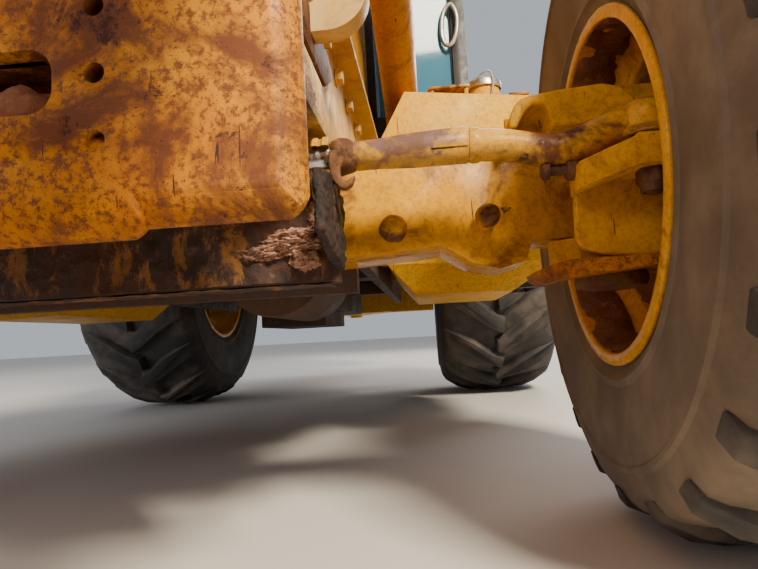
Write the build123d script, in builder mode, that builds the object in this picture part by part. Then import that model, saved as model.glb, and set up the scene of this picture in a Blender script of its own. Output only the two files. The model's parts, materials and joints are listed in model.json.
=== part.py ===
from build123d import *
import os
from collections import namedtuple
from math import cos, hypot, radians, sin

# Backhoe loader, two-wheel drive, with the bucket on the ground and the backhoe folded for travel.
# Millimetres. +Z is up, the front faces -Y and +X is the machine's left.
# The origin is on the ground under the middle of the machine.

os.makedirs("parts", exist_ok=True)

# Driving sizes
WHEELBASE = 2130
REAR_AXLE_Y = 890
FRONT_AXLE_Y = REAR_AXLE_Y - WHEELBASE

FRONT_TYRE_RADIUS = 475
FRONT_TYRE_WIDTH = 314
FRONT_RIM_WIDTH = 270
FRONT_RIM_RADIUS = 250
FRONT_WHEEL_X = 895
REAR_TYRE_RADIUS = 655
REAR_TYRE_WIDTH = 520
REAR_RIM_WIDTH = 430
REAR_RIM_RADIUS = 330
REAR_WHEEL_X = 791

RUNNING_GAP = 5
PIN_CLEARANCE = 0.5

# Frame
FRAME_HALF_WIDTH = 380
RAIL_PLATE = 25
SILL_PLATE = 27
RAIL_TOP = 607
SILL_TOP = 735
FLANGE_THICKNESS = 10
FLANGE_EDGE = 405
RAIL_FRONT = FRONT_AXLE_Y - 265
RAIL_REAR = REAR_AXLE_Y + 700
REAR_RAIL_BOTTOM = 790
REAR_RAIL_TOP = 905
CARRIER_PLATE = 30
CARRIER_GAP = 85
CARRIER_BOTTOM = 358
AXLE_PIVOT_Z = 440
GUARD_HALF_WIDTH = 448
GUARD_RADIUS = 50
GUARD_THICKNESS = 32
GUARD_FRONT = FRONT_AXLE_Y - 200
GUARD_Z = 700
AXLE_PIVOT_RADIUS = 35

# Front bumper
BUMPER_FRONT = FRONT_AXLE_Y - 400
BUMPER_HALF_WIDTH = 410
BUMPER_FACE_DEPTH = 55
BUMPER_ROUNDING = 40
BUMPER_BACK_HALF_WIDTH = 330
BUMPER_BACK_BOTTOM = 430
BUMPER_BOTTOM = 386
BUMPER_LIP_BOTTOM = 378
BUMPER_LIP_HALF_WIDTH = 258
BUMPER_TOP = 740
BUMPER_HOLE_RADIUS = 9
BUMPER_HOLE_X = 226
BUMPER_HOLE_Z = 521
BUMPER_HOLE_SPACING = 60
BUMPER_SLOT_HALF_WIDTH = 188
BUMPER_SLOT_HEIGHT = 58
BUMPER_SLOT_Z = 518

# Front axle and steering
KINGPIN_X = 760
KINGPIN_RADIUS = 22
BEAM_DEPTH = 140
BEAM_END_DEPTH = 96
BEAM_TOP = 530
BEAM_EYE_RADIUS = 58
BEAM_EYE_BOTTOM = 405
BEAM_EYE_TOP = 555
STEERING_Y = FRONT_AXLE_Y - 165
STEERING_Z = 508
STEERING_BARREL_RADIUS = 34
STEERING_BARREL_HALF_LENGTH = 235
STEERING_ROD_RADIUS = 16
STEERING_ROD_END_X = 345
TIE_BALL_OUT = 8
TIE_BALL_Z = 523
TIE_ROD_RADIUS = 18

# Loader
TOWER_X = 457
ARM_HALF_WIDTH = 46
CAB_FRONT = REAR_AXLE_Y - 1000
ARM_PIVOT = (CAB_FRONT - 200, 1500)
LIFT_BASE = (CAB_FRONT - 350, 905)
LIFT_TIP = (FRONT_AXLE_Y - 170, 1170)
BUCKET_PIN = (FRONT_AXLE_Y - 1250, 220)
TILT_BASE = (FRONT_AXLE_Y - 640, 1500)
TILT_TIP = (FRONT_AXLE_Y - 1270, 590)
LOADER_BUCKET_WIDTH = 2184
LOADER_BUCKET_WALL = 12
PIVOT_PIN_RADIUS = 28

# Cab
CAB_CORNER_Y = CAB_FRONT + 70
CAB_REAR = REAR_AXLE_Y + 300
CAB_FRONT_HALF_WIDTH = 360
CAB_HALF_WIDTH = 690
CAB_FLOOR = 960
CAB_WAIST = 1420
CAB_EAVES = 2540
CAB_POST = 50
CAB_ROOF_TOP = 2740
GLASS_THICKNESS = 8

# Backhoe: the boom and the dipper are placed by their angles from level, in side view
SWING_Y = REAR_AXLE_Y + 1040
SWING_BOTTOM = 440
SWING_TOP = 1030
SWING_PIN_RADIUS = 40
BOOM_FOOT = (REAR_AXLE_Y + 1345, 600)
BOOM_ANGLE = 83
BOOM_LENGTH = 2450
BOOM_HALF_WIDTH = 100
BOOM_HALF_DEPTH = 100
BOOM_TONGUE_HALF_WIDTH = 60
BOOM_RAM_OFFSET = 165
DIPPER_ANGLE = -72
DIPPER_LENGTH = 1650
DIPPER_HALF_WIDTH = 85
DIPPER_LEVER = 330
HOE_BUCKET_WIDTH = 610
HOE_PIN_RADIUS = 22
STABILIZER_PIVOT = (430, 560)
STABILIZER_RAM_BASE = (345, 1340)
STABILIZER_ANGLE = 60
STABILIZER_LENGTH = 1010
STABILIZER_Y = REAR_AXLE_Y + 780
STABILIZER_WIDTH = 90


def turned(origin, angle, distance, aside):
    """A side-view point along a direction from origin and aside from it, to the left of the way."""
    return (
        origin[0] + distance * cos(radians(angle)) - aside * sin(radians(angle)),
        origin[1] + distance * sin(radians(angle)) + aside * cos(radians(angle)),
    )


def boom_point(distance, aside):
    """A point of the boom: distance from its foot, and aside towards the cab."""
    return turned(BOOM_FOOT, BOOM_ANGLE, distance, aside)


def dipper_point(distance, aside):
    """A point of the dipper: distance from its pin on the boom, and aside away from the cab."""
    return turned(BOOM_TOP, DIPPER_ANGLE, distance, aside)


BOOM_TOP = turned(BOOM_FOOT, BOOM_ANGLE, BOOM_LENGTH, 0)
BOOM_RAM_BASE = (REAR_AXLE_Y + 1200, 930)
BOOM_RAM_TIP = boom_point(1150, BOOM_RAM_OFFSET)
DIPPER_RAM_BASE = boom_point(1290, BOOM_RAM_OFFSET)
DIPPER_RAM_TIP = dipper_point(-DIPPER_LEVER, 0)
HOE_PIN = dipper_point(DIPPER_LENGTH, 0)
HOE_RAM_BASE = dipper_point(460, 150)
ROCKER_PIVOT = dipper_point(DIPPER_LENGTH - 250, 0)
ROCKER_TIP = dipper_point(DIPPER_LENGTH - 140, 280)
HOE_LINK_PIN = dipper_point(DIPPER_LENGTH + 120, 185)

# A hydraulic ram: its two pins in side view, how far the barrel reaches from its own pin,
# where the rod ends inside it, the radii of barrel, rod, eye and pin, and the eye's width.
Ram = namedtuple("Ram", "base tip reach rod_start barrel rod eye pin width")

LIFT_ROD_SHOWN = 121.268
LIFT_REACH = hypot(LIFT_TIP[0] - LIFT_BASE[0], LIFT_TIP[1] - LIFT_BASE[1]) - LIFT_ROD_SHOWN
LIFT_RAM = Ram(LIFT_BASE, LIFT_TIP, LIFT_REACH, 72, 47, 28, 44, 24, 50)
TILT_RAM = Ram(TILT_BASE, TILT_TIP, 895, 300, 38, 22, 42, 22, 76)
BOOM_RAM = Ram(BOOM_RAM_BASE, BOOM_RAM_TIP, 755, 120, 55, 30, 50, 26, 80)
DIPPER_RAM = Ram(DIPPER_RAM_BASE, DIPPER_RAM_TIP, 890, 600, 48, 28, 46, 24, 70)
HOE_RAM = Ram(HOE_RAM_BASE, ROCKER_TIP, 650, 400, 42, 24, 40, 20, 60)
STABILIZER_RAM_REACH = 500
STABILIZER_BARREL_RADIUS = 40
STABILIZER_ROD_RADIUS = 22
STABILIZER_EYE = 38
STABILIZER_PIN = 24
STABILIZER_EYE_WIDTH = 44

SIDES = (-1, 1)


# Shapes seen along one axis

def side_slab(points, x_from, x_to, mode=Mode.ADD):
    """A plate with a (y, z) outline between two places across the machine."""
    with BuildSketch(Plane.YZ.offset(x_from)) as outline:
        Polygon(*points)
    extrude(outline.sketch, amount=x_to - x_from, mode=mode)


def front_slab(points, y_front, y_back, mode=Mode.ADD):
    """A plate with an (x, z) outline between two places along the machine."""
    with BuildSketch(Plane.XZ.offset(-y_back)) as outline:
        Polygon(*points)
    extrude(outline.sketch, amount=y_back - y_front, mode=mode)


def plan_slab(points, z_from, z_to, mode=Mode.ADD):
    """A plate with an (x, y) outline between two heights."""
    with BuildSketch(Plane.XY.offset(z_from)) as outline:
        Polygon(*points)
    extrude(outline.sketch, amount=z_to - z_from, mode=mode)


def block(x_from, x_to, y_from, y_to, z_from, z_to, mode=Mode.ADD):
    """A plain block between two corners."""
    plan_slab([(x_from, y_from), (x_to, y_from), (x_to, y_to), (x_from, y_to)], z_from, z_to, mode)


def bar(start, end, radius, mode=Mode.ADD):
    """A round bar between two points."""
    span = Vector(*end) - Vector(*start)
    with BuildSketch(Plane(origin=start, z_dir=span)) as section:
        Circle(radius)
    extrude(section.sketch, amount=span.length, mode=mode)


def fore_bar(place, radius, y_from, y_to, mode=Mode.ADD):
    """A round bar along the machine at an (x, z) place."""
    bar((place[0], y_from, place[1]), (place[0], y_to, place[1]), radius, mode)


def cross_bar(place, radius, x_from, x_to, mode=Mode.ADD):
    """A round bar across the machine at a (y, z) place."""
    bar((x_from, *place), (x_to, *place), radius, mode)


def along(start, end, distance):
    """The (y, z) point at a distance from start on the way to end."""
    run = hypot(end[0] - start[0], end[1] - start[1])
    return (
        start[0] + (end[0] - start[0]) * distance / run,
        start[1] + (end[1] - start[1]) * distance / run,
    )


RAM_WALL = 8
RAM_GLAND = 30
PISTON_LENGTH = 30
PIN_PROUD = 4.3


def add_barrel(ram, x_middle):
    """The barrel of a ram, with its eye bored for the pin and its inside bored for the rod."""
    cap = along(ram.base, ram.tip, ram.eye * 0.7)
    end = along(ram.base, ram.tip, ram.reach)
    bore_start = along(ram.base, ram.tip, ram.eye + 12)
    gland = along(ram.base, ram.tip, ram.reach - RAM_GLAND)
    cross_bar(ram.base, ram.eye, x_middle - ram.width / 2, x_middle + ram.width / 2)
    neck = along(ram.base, ram.tip, ram.eye + 6)
    bar((x_middle, *cap), (x_middle, *neck), ram.width / 2 - 4)
    bar((x_middle, *neck), (x_middle, *end), ram.barrel)
    bar((x_middle, *bore_start), (x_middle, *gland), ram.barrel - RAM_WALL, Mode.SUBTRACT)
    bar((x_middle, *gland), (x_middle, *end), ram.rod + PIN_CLEARANCE, Mode.SUBTRACT)
    cross_bar(
        ram.base,
        ram.pin + PIN_CLEARANCE,
        x_middle - ram.width,
        x_middle + ram.width,
        Mode.SUBTRACT,
    )


def add_rod(ram, x_middle):
    """The rod of a ram, with its piston, its eye and the pin's two ends."""
    start = along(ram.base, ram.tip, ram.rod_start)
    piston_end = along(ram.base, ram.tip, ram.rod_start + PISTON_LENGTH)
    length = hypot(ram.tip[0] - ram.base[0], ram.tip[1] - ram.base[1])
    end = along(ram.base, ram.tip, length - ram.eye / 2)
    bar((x_middle, *start), (x_middle, *end), ram.rod)
    bar((x_middle, *start), (x_middle, *piston_end), ram.barrel - RAM_WALL - PIN_CLEARANCE)
    cross_bar(ram.tip, ram.eye, x_middle - ram.width / 2, x_middle + ram.width / 2)
    reach = ram.width / 2 + PIN_PROUD
    cross_bar(ram.tip, ram.pin, x_middle - reach, x_middle + reach)


def ahead(distance):
    """The y of a place this far ahead of the front axle."""
    return FRONT_AXLE_Y - distance


def behind(distance):
    """The y of a place this far behind the rear axle."""
    return REAR_AXLE_Y + distance


# Main frame: two rails, the sill plates above them, and the plates that carry the front axle
NOSE_RAIL_BOTTOM = 545
RAIL_BOTTOM = 430
rail_outline = [
    (RAIL_FRONT, NOSE_RAIL_BOTTOM),
    (ahead(-130), NOSE_RAIL_BOTTOM),
    (ahead(-260), RAIL_BOTTOM),
    (behind(-420), RAIL_BOTTOM),
    (behind(-250), REAR_RAIL_BOTTOM),
    (RAIL_REAR, REAR_RAIL_BOTTOM),
    (RAIL_REAR, REAR_RAIL_TOP),
    (behind(-400), REAR_RAIL_TOP),
    (behind(-520), RAIL_TOP),
    (RAIL_FRONT, RAIL_TOP),
]
sill_outline = [
    (RAIL_FRONT, RAIL_TOP),
    (behind(-520), RAIL_TOP),
    (behind(-520), SILL_TOP),
    (RAIL_FRONT, SILL_TOP),
]
RAIL_INSIDE = FRAME_HALF_WIDTH - RAIL_PLATE
SILL_INSIDE = RAIL_INSIDE - 10
HOOD_HINGE = (ahead(215), SILL_TOP + 55)
HOOD_HINGE_X = 160
HOOD_HINGE_EAR = 20
HOOD_HINGE_PIN = 10
HOOD_HINGE_REACH = 35
CARRIER_HALF_WIDTH = FRAME_HALF_WIDTH + 5
CARRIER_SHOULDER = 425
CARRIER_NECK = 470
carrier_outline = [
    (-CARRIER_HALF_WIDTH, CARRIER_BOTTOM),
    (CARRIER_HALF_WIDTH, CARRIER_BOTTOM),
    (CARRIER_HALF_WIDTH, CARRIER_SHOULDER),
    (RAIL_INSIDE, CARRIER_NECK),
    (RAIL_INSIDE, RAIL_TOP),
    (-RAIL_INSIDE, RAIL_TOP),
    (-RAIL_INSIDE, CARRIER_NECK),
    (-CARRIER_HALF_WIDTH, CARRIER_SHOULDER),
]
CROSS_MEMBER_TOP = 500
with BuildPart() as main_frame:
    for side in SIDES:
        inner = side * RAIL_INSIDE
        outer = side * FRAME_HALF_WIDTH
        side_slab(rail_outline, min(inner, outer), max(inner, outer))
        sill_inner = side * SILL_INSIDE
        sill_outer = sill_inner + side * SILL_PLATE
        side_slab(sill_outline, min(sill_inner, sill_outer), max(sill_inner, sill_outer))
        edge = side * FLANGE_EDGE
        block(
            min(sill_inner, edge),
            max(sill_inner, edge),
            RAIL_FRONT,
            ahead(-700),
            SILL_TOP,
            SILL_TOP + FLANGE_THICKNESS,
        )
        # Round-ended wing below the nose
        wing_x = side * (GUARD_HALF_WIDTH - GUARD_RADIUS)
        block(
            min(sill_inner, wing_x),
            max(sill_inner, wing_x),
            GUARD_FRONT,
            GUARD_FRONT + GUARD_THICKNESS,
            GUARD_Z - GUARD_RADIUS,
            GUARD_Z + GUARD_RADIUS,
        )
        bar(
            (wing_x, GUARD_FRONT, GUARD_Z),
            (wing_x, GUARD_FRONT + GUARD_THICKNESS, GUARD_Z),
            GUARD_RADIUS,
        )
    for middle in (-CARRIER_GAP - CARRIER_PLATE / 2, CARRIER_GAP + CARRIER_PLATE / 2):
        plate_y = FRONT_AXLE_Y + middle
        front_slab(carrier_outline, plate_y - CARRIER_PLATE / 2, plate_y + CARRIER_PLATE / 2)
    bar(
        (0, ahead(CARRIER_GAP + CARRIER_PLATE), AXLE_PIVOT_Z),
        (0, ahead(-CARRIER_GAP - CARRIER_PLATE), AXLE_PIVOT_Z),
        AXLE_PIVOT_RADIUS,
    )
    # Hood hinge: two ears with a pin each
    for side in SIDES:
        hinge_x = side * HOOD_HINGE_X
        side_slab(
            [
                (RAIL_FRONT + 3, SILL_TOP - 40),
                (RAIL_FRONT + 25, SILL_TOP - 40),
                (HOOD_HINGE[0] + 14, HOOD_HINGE[1] - 8),
                (HOOD_HINGE[0] + 8, HOOD_HINGE[1] + 14),
                (HOOD_HINGE[0] - 12, HOOD_HINGE[1] + 12),
            ],
            hinge_x - HOOD_HINGE_EAR / 2,
            hinge_x + HOOD_HINGE_EAR / 2,
        )
        cross_bar(HOOD_HINGE, HOOD_HINGE_PIN, hinge_x - HOOD_HINGE_REACH, hinge_x + HOOD_HINGE_REACH)
    # Front plate behind the bumper, and the cross members along the frame
    block(-RAIL_INSIDE, RAIL_INSIDE, RAIL_FRONT, RAIL_FRONT + RAIL_PLATE, NOSE_RAIL_BOTTOM, SILL_TOP)
    for y_from, y_to, z_from, z_to in (
        (ahead(-640), ahead(-560), RAIL_BOTTOM, CROSS_MEMBER_TOP),
        (behind(300), behind(360), REAR_RAIL_BOTTOM, REAR_RAIL_TOP),
    ):
        block(-RAIL_INSIDE, RAIL_INSIDE, y_from, y_to, z_from, z_to)
main_frame.part.label = "main_frame"
export_step(main_frame.part, "parts/main_frame.step")

# Front bumper: a rounded face plate with a tow slot and three holes each side, and the weight behind it
BUMPER_BACK = RAIL_FRONT
BUMPER_SLOT_DEPTH = 90
BUMPER_SLOT_ROUNDING = 14
with BuildPart() as front_bumper:
    face_back = BUMPER_FRONT + BUMPER_FACE_DEPTH
    block(-BUMPER_HALF_WIDTH, BUMPER_HALF_WIDTH, BUMPER_FRONT, face_back, BUMPER_BOTTOM, BUMPER_TOP)
    corners = front_bumper.edges().filter_by(Axis.Z).sort_by(Axis.Y)[:2]
    underside = front_bumper.faces().sort_by(Axis.Z)[0].edges().sort_by(Axis.Y)[:3]
    fillet(corners + underside, radius=BUMPER_ROUNDING)
    block(
        -BUMPER_LIP_HALF_WIDTH,
        BUMPER_LIP_HALF_WIDTH,
        face_back - BUMPER_FACE_DEPTH / 2,
        face_back,
        BUMPER_LIP_BOTTOM,
        BUMPER_BOTTOM + BUMPER_ROUNDING,
    )
    block(
        -BUMPER_BACK_HALF_WIDTH,
        BUMPER_BACK_HALF_WIDTH,
        face_back,
        BUMPER_BACK,
        BUMPER_BACK_BOTTOM,
        BUMPER_TOP,
    )
    with BuildSketch(Plane.XZ.offset(-BUMPER_FRONT)) as slot:
        with Locations((0, BUMPER_SLOT_Z)):
            RectangleRounded(2 * BUMPER_SLOT_HALF_WIDTH, BUMPER_SLOT_HEIGHT, BUMPER_SLOT_ROUNDING)
    extrude(slot.sketch, amount=-BUMPER_SLOT_DEPTH, mode=Mode.SUBTRACT)
    for side in SIDES:
        for step in (-1, 0, 1):
            hole_z = BUMPER_HOLE_Z + step * BUMPER_HOLE_SPACING
            hole_x = side * BUMPER_HOLE_X
            bar(
                (hole_x, BUMPER_FRONT - 1, hole_z),
                (hole_x, BUMPER_BACK + 1, hole_z),
                BUMPER_HOLE_RADIUS,
                Mode.SUBTRACT,
            )
front_bumper.part.label = "front_bumper"
export_step(front_bumper.part, "parts/front_bumper.step")

# Front axle: a deep beam that narrows to an eye round each kingpin
beam_half_outline = [
    (0, 380),
    (330, 392),
    (440, 398),
    (520, 404),
    (560, 378),
    (600, 368),
    (636, 378),
    (646, BEAM_EYE_BOTTOM),
    (KINGPIN_X - 40, BEAM_EYE_BOTTOM),
    (KINGPIN_X - 40, BEAM_EYE_TOP - 25),
    (600, BEAM_TOP - 5),
    (330, BEAM_TOP),
    (0, BEAM_TOP),
]
beam_plan = [
    (-540, -BEAM_DEPTH / 2),
    (540, -BEAM_DEPTH / 2),
    (620, -BEAM_END_DEPTH / 2),
    (KINGPIN_X - 20, -BEAM_END_DEPTH / 2),
    (KINGPIN_X - 20, BEAM_END_DEPTH / 2),
    (620, BEAM_END_DEPTH / 2),
    (540, BEAM_DEPTH / 2),
    (-540, BEAM_DEPTH / 2),
    (-620, BEAM_END_DEPTH / 2),
    (-KINGPIN_X + 20, BEAM_END_DEPTH / 2),
    (-KINGPIN_X + 20, -BEAM_END_DEPTH / 2),
    (-620, -BEAM_END_DEPTH / 2),
]
with BuildPart() as front_axle:
    beam_outline = beam_half_outline + [(-x, z) for x, z in reversed(beam_half_outline[1:-1])]
    front_slab(beam_outline, ahead(BEAM_DEPTH / 2), ahead(-BEAM_DEPTH / 2))
    plan_slab([(x, FRONT_AXLE_Y + y) for x, y in beam_plan], 300, 620, Mode.INTERSECT)
    for side in SIDES:
        eye_x = side * KINGPIN_X
        bar(
            (eye_x, FRONT_AXLE_Y, BEAM_EYE_BOTTOM),
            (eye_x, FRONT_AXLE_Y, BEAM_EYE_TOP),
            BEAM_EYE_RADIUS,
        )
    for side in SIDES:
        eye_x = side * KINGPIN_X
        bar(
            (eye_x, FRONT_AXLE_Y, BEAM_EYE_BOTTOM - 1),
            (eye_x, FRONT_AXLE_Y, BEAM_EYE_TOP + 1),
            KINGPIN_RADIUS + PIN_CLEARANCE,
            Mode.SUBTRACT,
        )
        # Bosses on the beam's face
        for boss_x, boss_z, boss_radius in ((457, 428, 13), (584, 436, 14)):
            bar(
                (side * boss_x, ahead(BEAM_DEPTH / 2 - 12), boss_z),
                (side * boss_x, ahead(BEAM_DEPTH / 2 + 8), boss_z),
                boss_radius,
            )
    bar(
        (0, ahead(BEAM_DEPTH), AXLE_PIVOT_Z),
        (0, ahead(-BEAM_DEPTH), AXLE_PIVOT_Z),
        AXLE_PIVOT_RADIUS + PIN_CLEARANCE,
        Mode.SUBTRACT,
    )
front_axle.part.label = "front_axle"
export_step(front_axle.part, "parts/front_axle.step")

# Steering cylinder: a barrel across the front of the axle carrier, its rod out of both ends
BARREL_BACK = ahead(CARRIER_GAP + CARRIER_PLATE)
with BuildPart() as steering_cylinder:
    bar(
        (-STEERING_BARREL_HALF_LENGTH, STEERING_Y, STEERING_Z),
        (STEERING_BARREL_HALF_LENGTH, STEERING_Y, STEERING_Z),
        STEERING_BARREL_RADIUS,
    )
    for side in SIDES:
        bracket_x = side * (STEERING_BARREL_HALF_LENGTH - 40)
        block(
            bracket_x - 15,
            bracket_x + 15,
            STEERING_Y,
            BARREL_BACK,
            STEERING_Z - STEERING_BARREL_RADIUS,
            STEERING_Z + STEERING_BARREL_RADIUS,
        )
    bar(
        (-STEERING_BARREL_HALF_LENGTH - 1, STEERING_Y, STEERING_Z),
        (STEERING_BARREL_HALF_LENGTH + 1, STEERING_Y, STEERING_Z),
        STEERING_ROD_RADIUS + PIN_CLEARANCE,
        Mode.SUBTRACT,
    )
steering_cylinder.part.label = "steering_cylinder"
export_step(steering_cylinder.part, "parts/steering_cylinder.step")

# Piston rod of the steering cylinder, with a ball at each end
TIE_BALL_RADIUS = 18
TIE_BALL_GAP = 1.8
with BuildPart() as steering_rod:
    reach = STEERING_ROD_END_X - TIE_BALL_RADIUS / 2
    bar((-reach, STEERING_Y, STEERING_Z), (reach, STEERING_Y, STEERING_Z), STEERING_ROD_RADIUS)
    for side in SIDES:
        with Locations((side * STEERING_ROD_END_X, STEERING_Y, STEERING_Z)):
            Sphere(TIE_BALL_RADIUS)
steering_rod.part.label = "steering_rod"
export_step(steering_rod.part, "parts/steering_rod.step")

# Tie rods: a cup round the rod's ball, a clamp, an adjusting sleeve and a bent rod to the socket
TIE_BALL_X = KINGPIN_X + TIE_BALL_OUT
SOCKET_RADIUS = 33
SOCKET_HALF_HEIGHT = 21
SOCKET_ROOF = 8
CUP_RADIUS = 12
CLAMP_RADIUS = 15
SLEEVE_RADIUS = TIE_ROD_RADIUS + 1
STUD_RADIUS = 11
with BuildPart() as tie_rod_left:
    cup_start = STEERING_ROD_END_X + TIE_BALL_RADIUS + TIE_BALL_GAP
    cup_end = cup_start + 30
    bar((cup_start, STEERING_Y, STEERING_Z), (cup_end, STEERING_Y, STEERING_Z), CUP_RADIUS)
    bar((cup_end, STEERING_Y, STEERING_Z), (420, STEERING_Y, STEERING_Z + 2), CLAMP_RADIUS)
    bar((415, STEERING_Y, STEERING_Z + 2), (560, STEERING_Y, STEERING_Z + 4), SLEEVE_RADIUS)
    bend = (
        (550, STEERING_Z + 4),
        (622, STEERING_Z - 6),
        (682, STEERING_Z - 8),
        (TIE_BALL_X - 12, TIE_BALL_Z),
    )
    with BuildLine() as route:
        FilletPolyline(*[(x, STEERING_Y, z) for x, z in bend], radius=60)
    with BuildSketch(Plane(origin=route.line @ 0, z_dir=route.line % 0)) as section:
        Circle(TIE_ROD_RADIUS)
    sweep(section.sketch, path=route.line)
    bar(
        (TIE_BALL_X, STEERING_Y, TIE_BALL_Z - SOCKET_HALF_HEIGHT),
        (TIE_BALL_X, STEERING_Y, TIE_BALL_Z + SOCKET_HALF_HEIGHT),
        SOCKET_RADIUS,
    )
    bar(
        (TIE_BALL_X, STEERING_Y, TIE_BALL_Z - SOCKET_HALF_HEIGHT),
        (TIE_BALL_X, STEERING_Y, TIE_BALL_Z + SOCKET_HALF_HEIGHT - SOCKET_ROOF),
        STUD_RADIUS + PIN_CLEARANCE,
        Mode.SUBTRACT,
    )
tie_rod_left.part.label = "tie_rod_left"
export_step(tie_rod_left.part, "parts/tie_rod_left.step")

with BuildPart() as tie_rod_right:
    mirror(tie_rod_left.part, about=Plane.YZ)
tie_rod_right.part.label = "tie_rod_right"
export_step(tie_rod_right.part, "parts/tie_rod_right.step")

# Steering knuckles: a fork round the axle's eye, the steering arm with its stud, and the spindle
FORK_TOP_BOTTOM = BEAM_EYE_TOP + RUNNING_GAP
FORK_TOP = FORK_TOP_BOTTOM + 40
FORK_LOW_TOP = BEAM_EYE_BOTTOM - RUNNING_GAP
FORK_LOW = FORK_LOW_TOP - 42
STEERING_ARM_BOTTOM = 462
STEERING_ARM_TOP = 497
SPINDLE_Z = FRONT_TYRE_RADIUS
SPINDLE_RADIUS = 32
SPINDLE_END = FRONT_WHEEL_X + 70
with BuildPart() as knuckle_left:
    fork_plan = [
        (KINGPIN_X - 95, ahead(52)),
        (KINGPIN_X - 60, ahead(80)),
        (KINGPIN_X + 70, ahead(80)),
        (KINGPIN_X + 98, ahead(55)),
        (KINGPIN_X + 98, ahead(-55)),
        (KINGPIN_X + 60, ahead(-75)),
        (KINGPIN_X - 50, ahead(-60)),
    ]
    plan_slab(fork_plan, FORK_TOP_BOTTOM, FORK_TOP)
    plan_slab(fork_plan, FORK_LOW, FORK_LOW_TOP)
    block(
        KINGPIN_X + BEAM_EYE_RADIUS + 10,
        KINGPIN_X + 98,
        ahead(60),
        ahead(-60),
        FORK_LOW,
        FORK_TOP,
    )
    # Steering arm and the web under it
    arm_plan = [
        (KINGPIN_X - 16, STEERING_Y - 32),
        (KINGPIN_X - 16, ahead(84)),
        (KINGPIN_X + 72, ahead(55)),
        (KINGPIN_X + 98, ahead(55)),
        (KINGPIN_X + 60, STEERING_Y - 32),
    ]
    plan_slab(arm_plan, STEERING_ARM_BOTTOM, STEERING_ARM_TOP)
    front_slab(
        [
            (KINGPIN_X - 82, STEERING_ARM_BOTTOM - 22),
            (KINGPIN_X - 82, STEERING_ARM_TOP - 28),
            (KINGPIN_X - 15, STEERING_ARM_TOP - 2),
            (KINGPIN_X - 15, STEERING_ARM_BOTTOM),
        ],
        STEERING_Y - 32,
        STEERING_Y + 22,
    )
    block(
        KINGPIN_X - 12,
        KINGPIN_X + 90,
        ahead(104),
        ahead(80),
        FORK_LOW,
        STEERING_ARM_TOP,
    )
    bar(
        (KINGPIN_X, FRONT_AXLE_Y, FORK_LOW - 8),
        (KINGPIN_X, FRONT_AXLE_Y, FORK_TOP + 6),
        KINGPIN_RADIUS,
    )
    bar(
        (TIE_BALL_X, STEERING_Y, STEERING_ARM_BOTTOM - 26),
        (TIE_BALL_X, STEERING_Y, TIE_BALL_Z + SOCKET_HALF_HEIGHT - SOCKET_ROOF - PIN_CLEARANCE),
        STUD_RADIUS,
    )
    bar(
        (KINGPIN_X + 90, FRONT_AXLE_Y, SPINDLE_Z),
        (SPINDLE_END, FRONT_AXLE_Y, SPINDLE_Z),
        SPINDLE_RADIUS,
    )
knuckle_left.part.label = "knuckle_left"
export_step(knuckle_left.part, "parts/knuckle_left.step")

with BuildPart() as knuckle_right:
    mirror(knuckle_left.part, about=Plane.YZ)
knuckle_right.part.label = "knuckle_right"
export_step(knuckle_right.part, "parts/knuckle_right.step")

# Wheels: rim and tyre profiles are (distance from the wheel's middle outwards, radius)
FRONT_DISC = 30
REAR_DISC = 20


def wheel_section(points, x_middle, y_middle, z_middle, side):
    """A profile turned about the wheel's axle, with its outer side away from the machine."""
    upright = Plane(origin=(x_middle, y_middle, z_middle), x_dir=(side, 0, 0), z_dir=(0, -side, 0))
    with BuildSketch(upright) as half:
        Polygon(*points)
    revolve(half.sketch, axis=Axis((x_middle, y_middle, z_middle), (1, 0, 0)))


def rim_outline(width, radius, disc_x, disc_thickness, bore, well):
    """A drop-centre rim whose disc stands at disc_x from the wheel's middle."""
    half = width / 2
    bead = radius - 18
    wall = 10
    return [
        (-half - 8, bead),
        (-half - 8, radius),
        (-half, radius),
        (-half, bead + wall),
        (-half * 0.45, bead + wall),
        (-half * 0.3, well + wall),
        (half * 0.3, well + wall),
        (half * 0.45, bead + wall),
        (half, bead + wall),
        (half, radius),
        (half + 8, radius),
        (half + 8, bead),
        (half * 0.45 + wall, bead),
        (half * 0.3 + wall, well),
        (disc_x + disc_thickness, well),
        (disc_x + disc_thickness, bore),
        (disc_x, bore),
        (disc_x, well),
        (-half * 0.3 - wall, well),
        (-half * 0.45 - wall, bead),
    ]


def tyre_outline(width, radius, rim_width, rim_radius):
    """A tyre seated on its rim, out to the tips of its lugs."""
    half = width / 2
    bead = rim_radius - 7
    seat = rim_width / 2 - 0.5
    return [
        (-seat, bead),
        (seat, bead),
        (seat, rim_radius + 12),
        (half - 8, rim_radius + (radius - rim_radius) * 0.3),
        (half, rim_radius + (radius - rim_radius) * 0.55),
        (half - 6, radius - 45),
        (half * 0.78, radius - 8),
        (half * 0.35, radius),
        (-half * 0.35, radius),
        (-half * 0.78, radius - 8),
        (-half + 6, radius - 45),
        (-half, rim_radius + (radius - rim_radius) * 0.55),
        (-half + 8, rim_radius + (radius - rim_radius) * 0.3),
        (-seat, rim_radius + 12),
    ]


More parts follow.
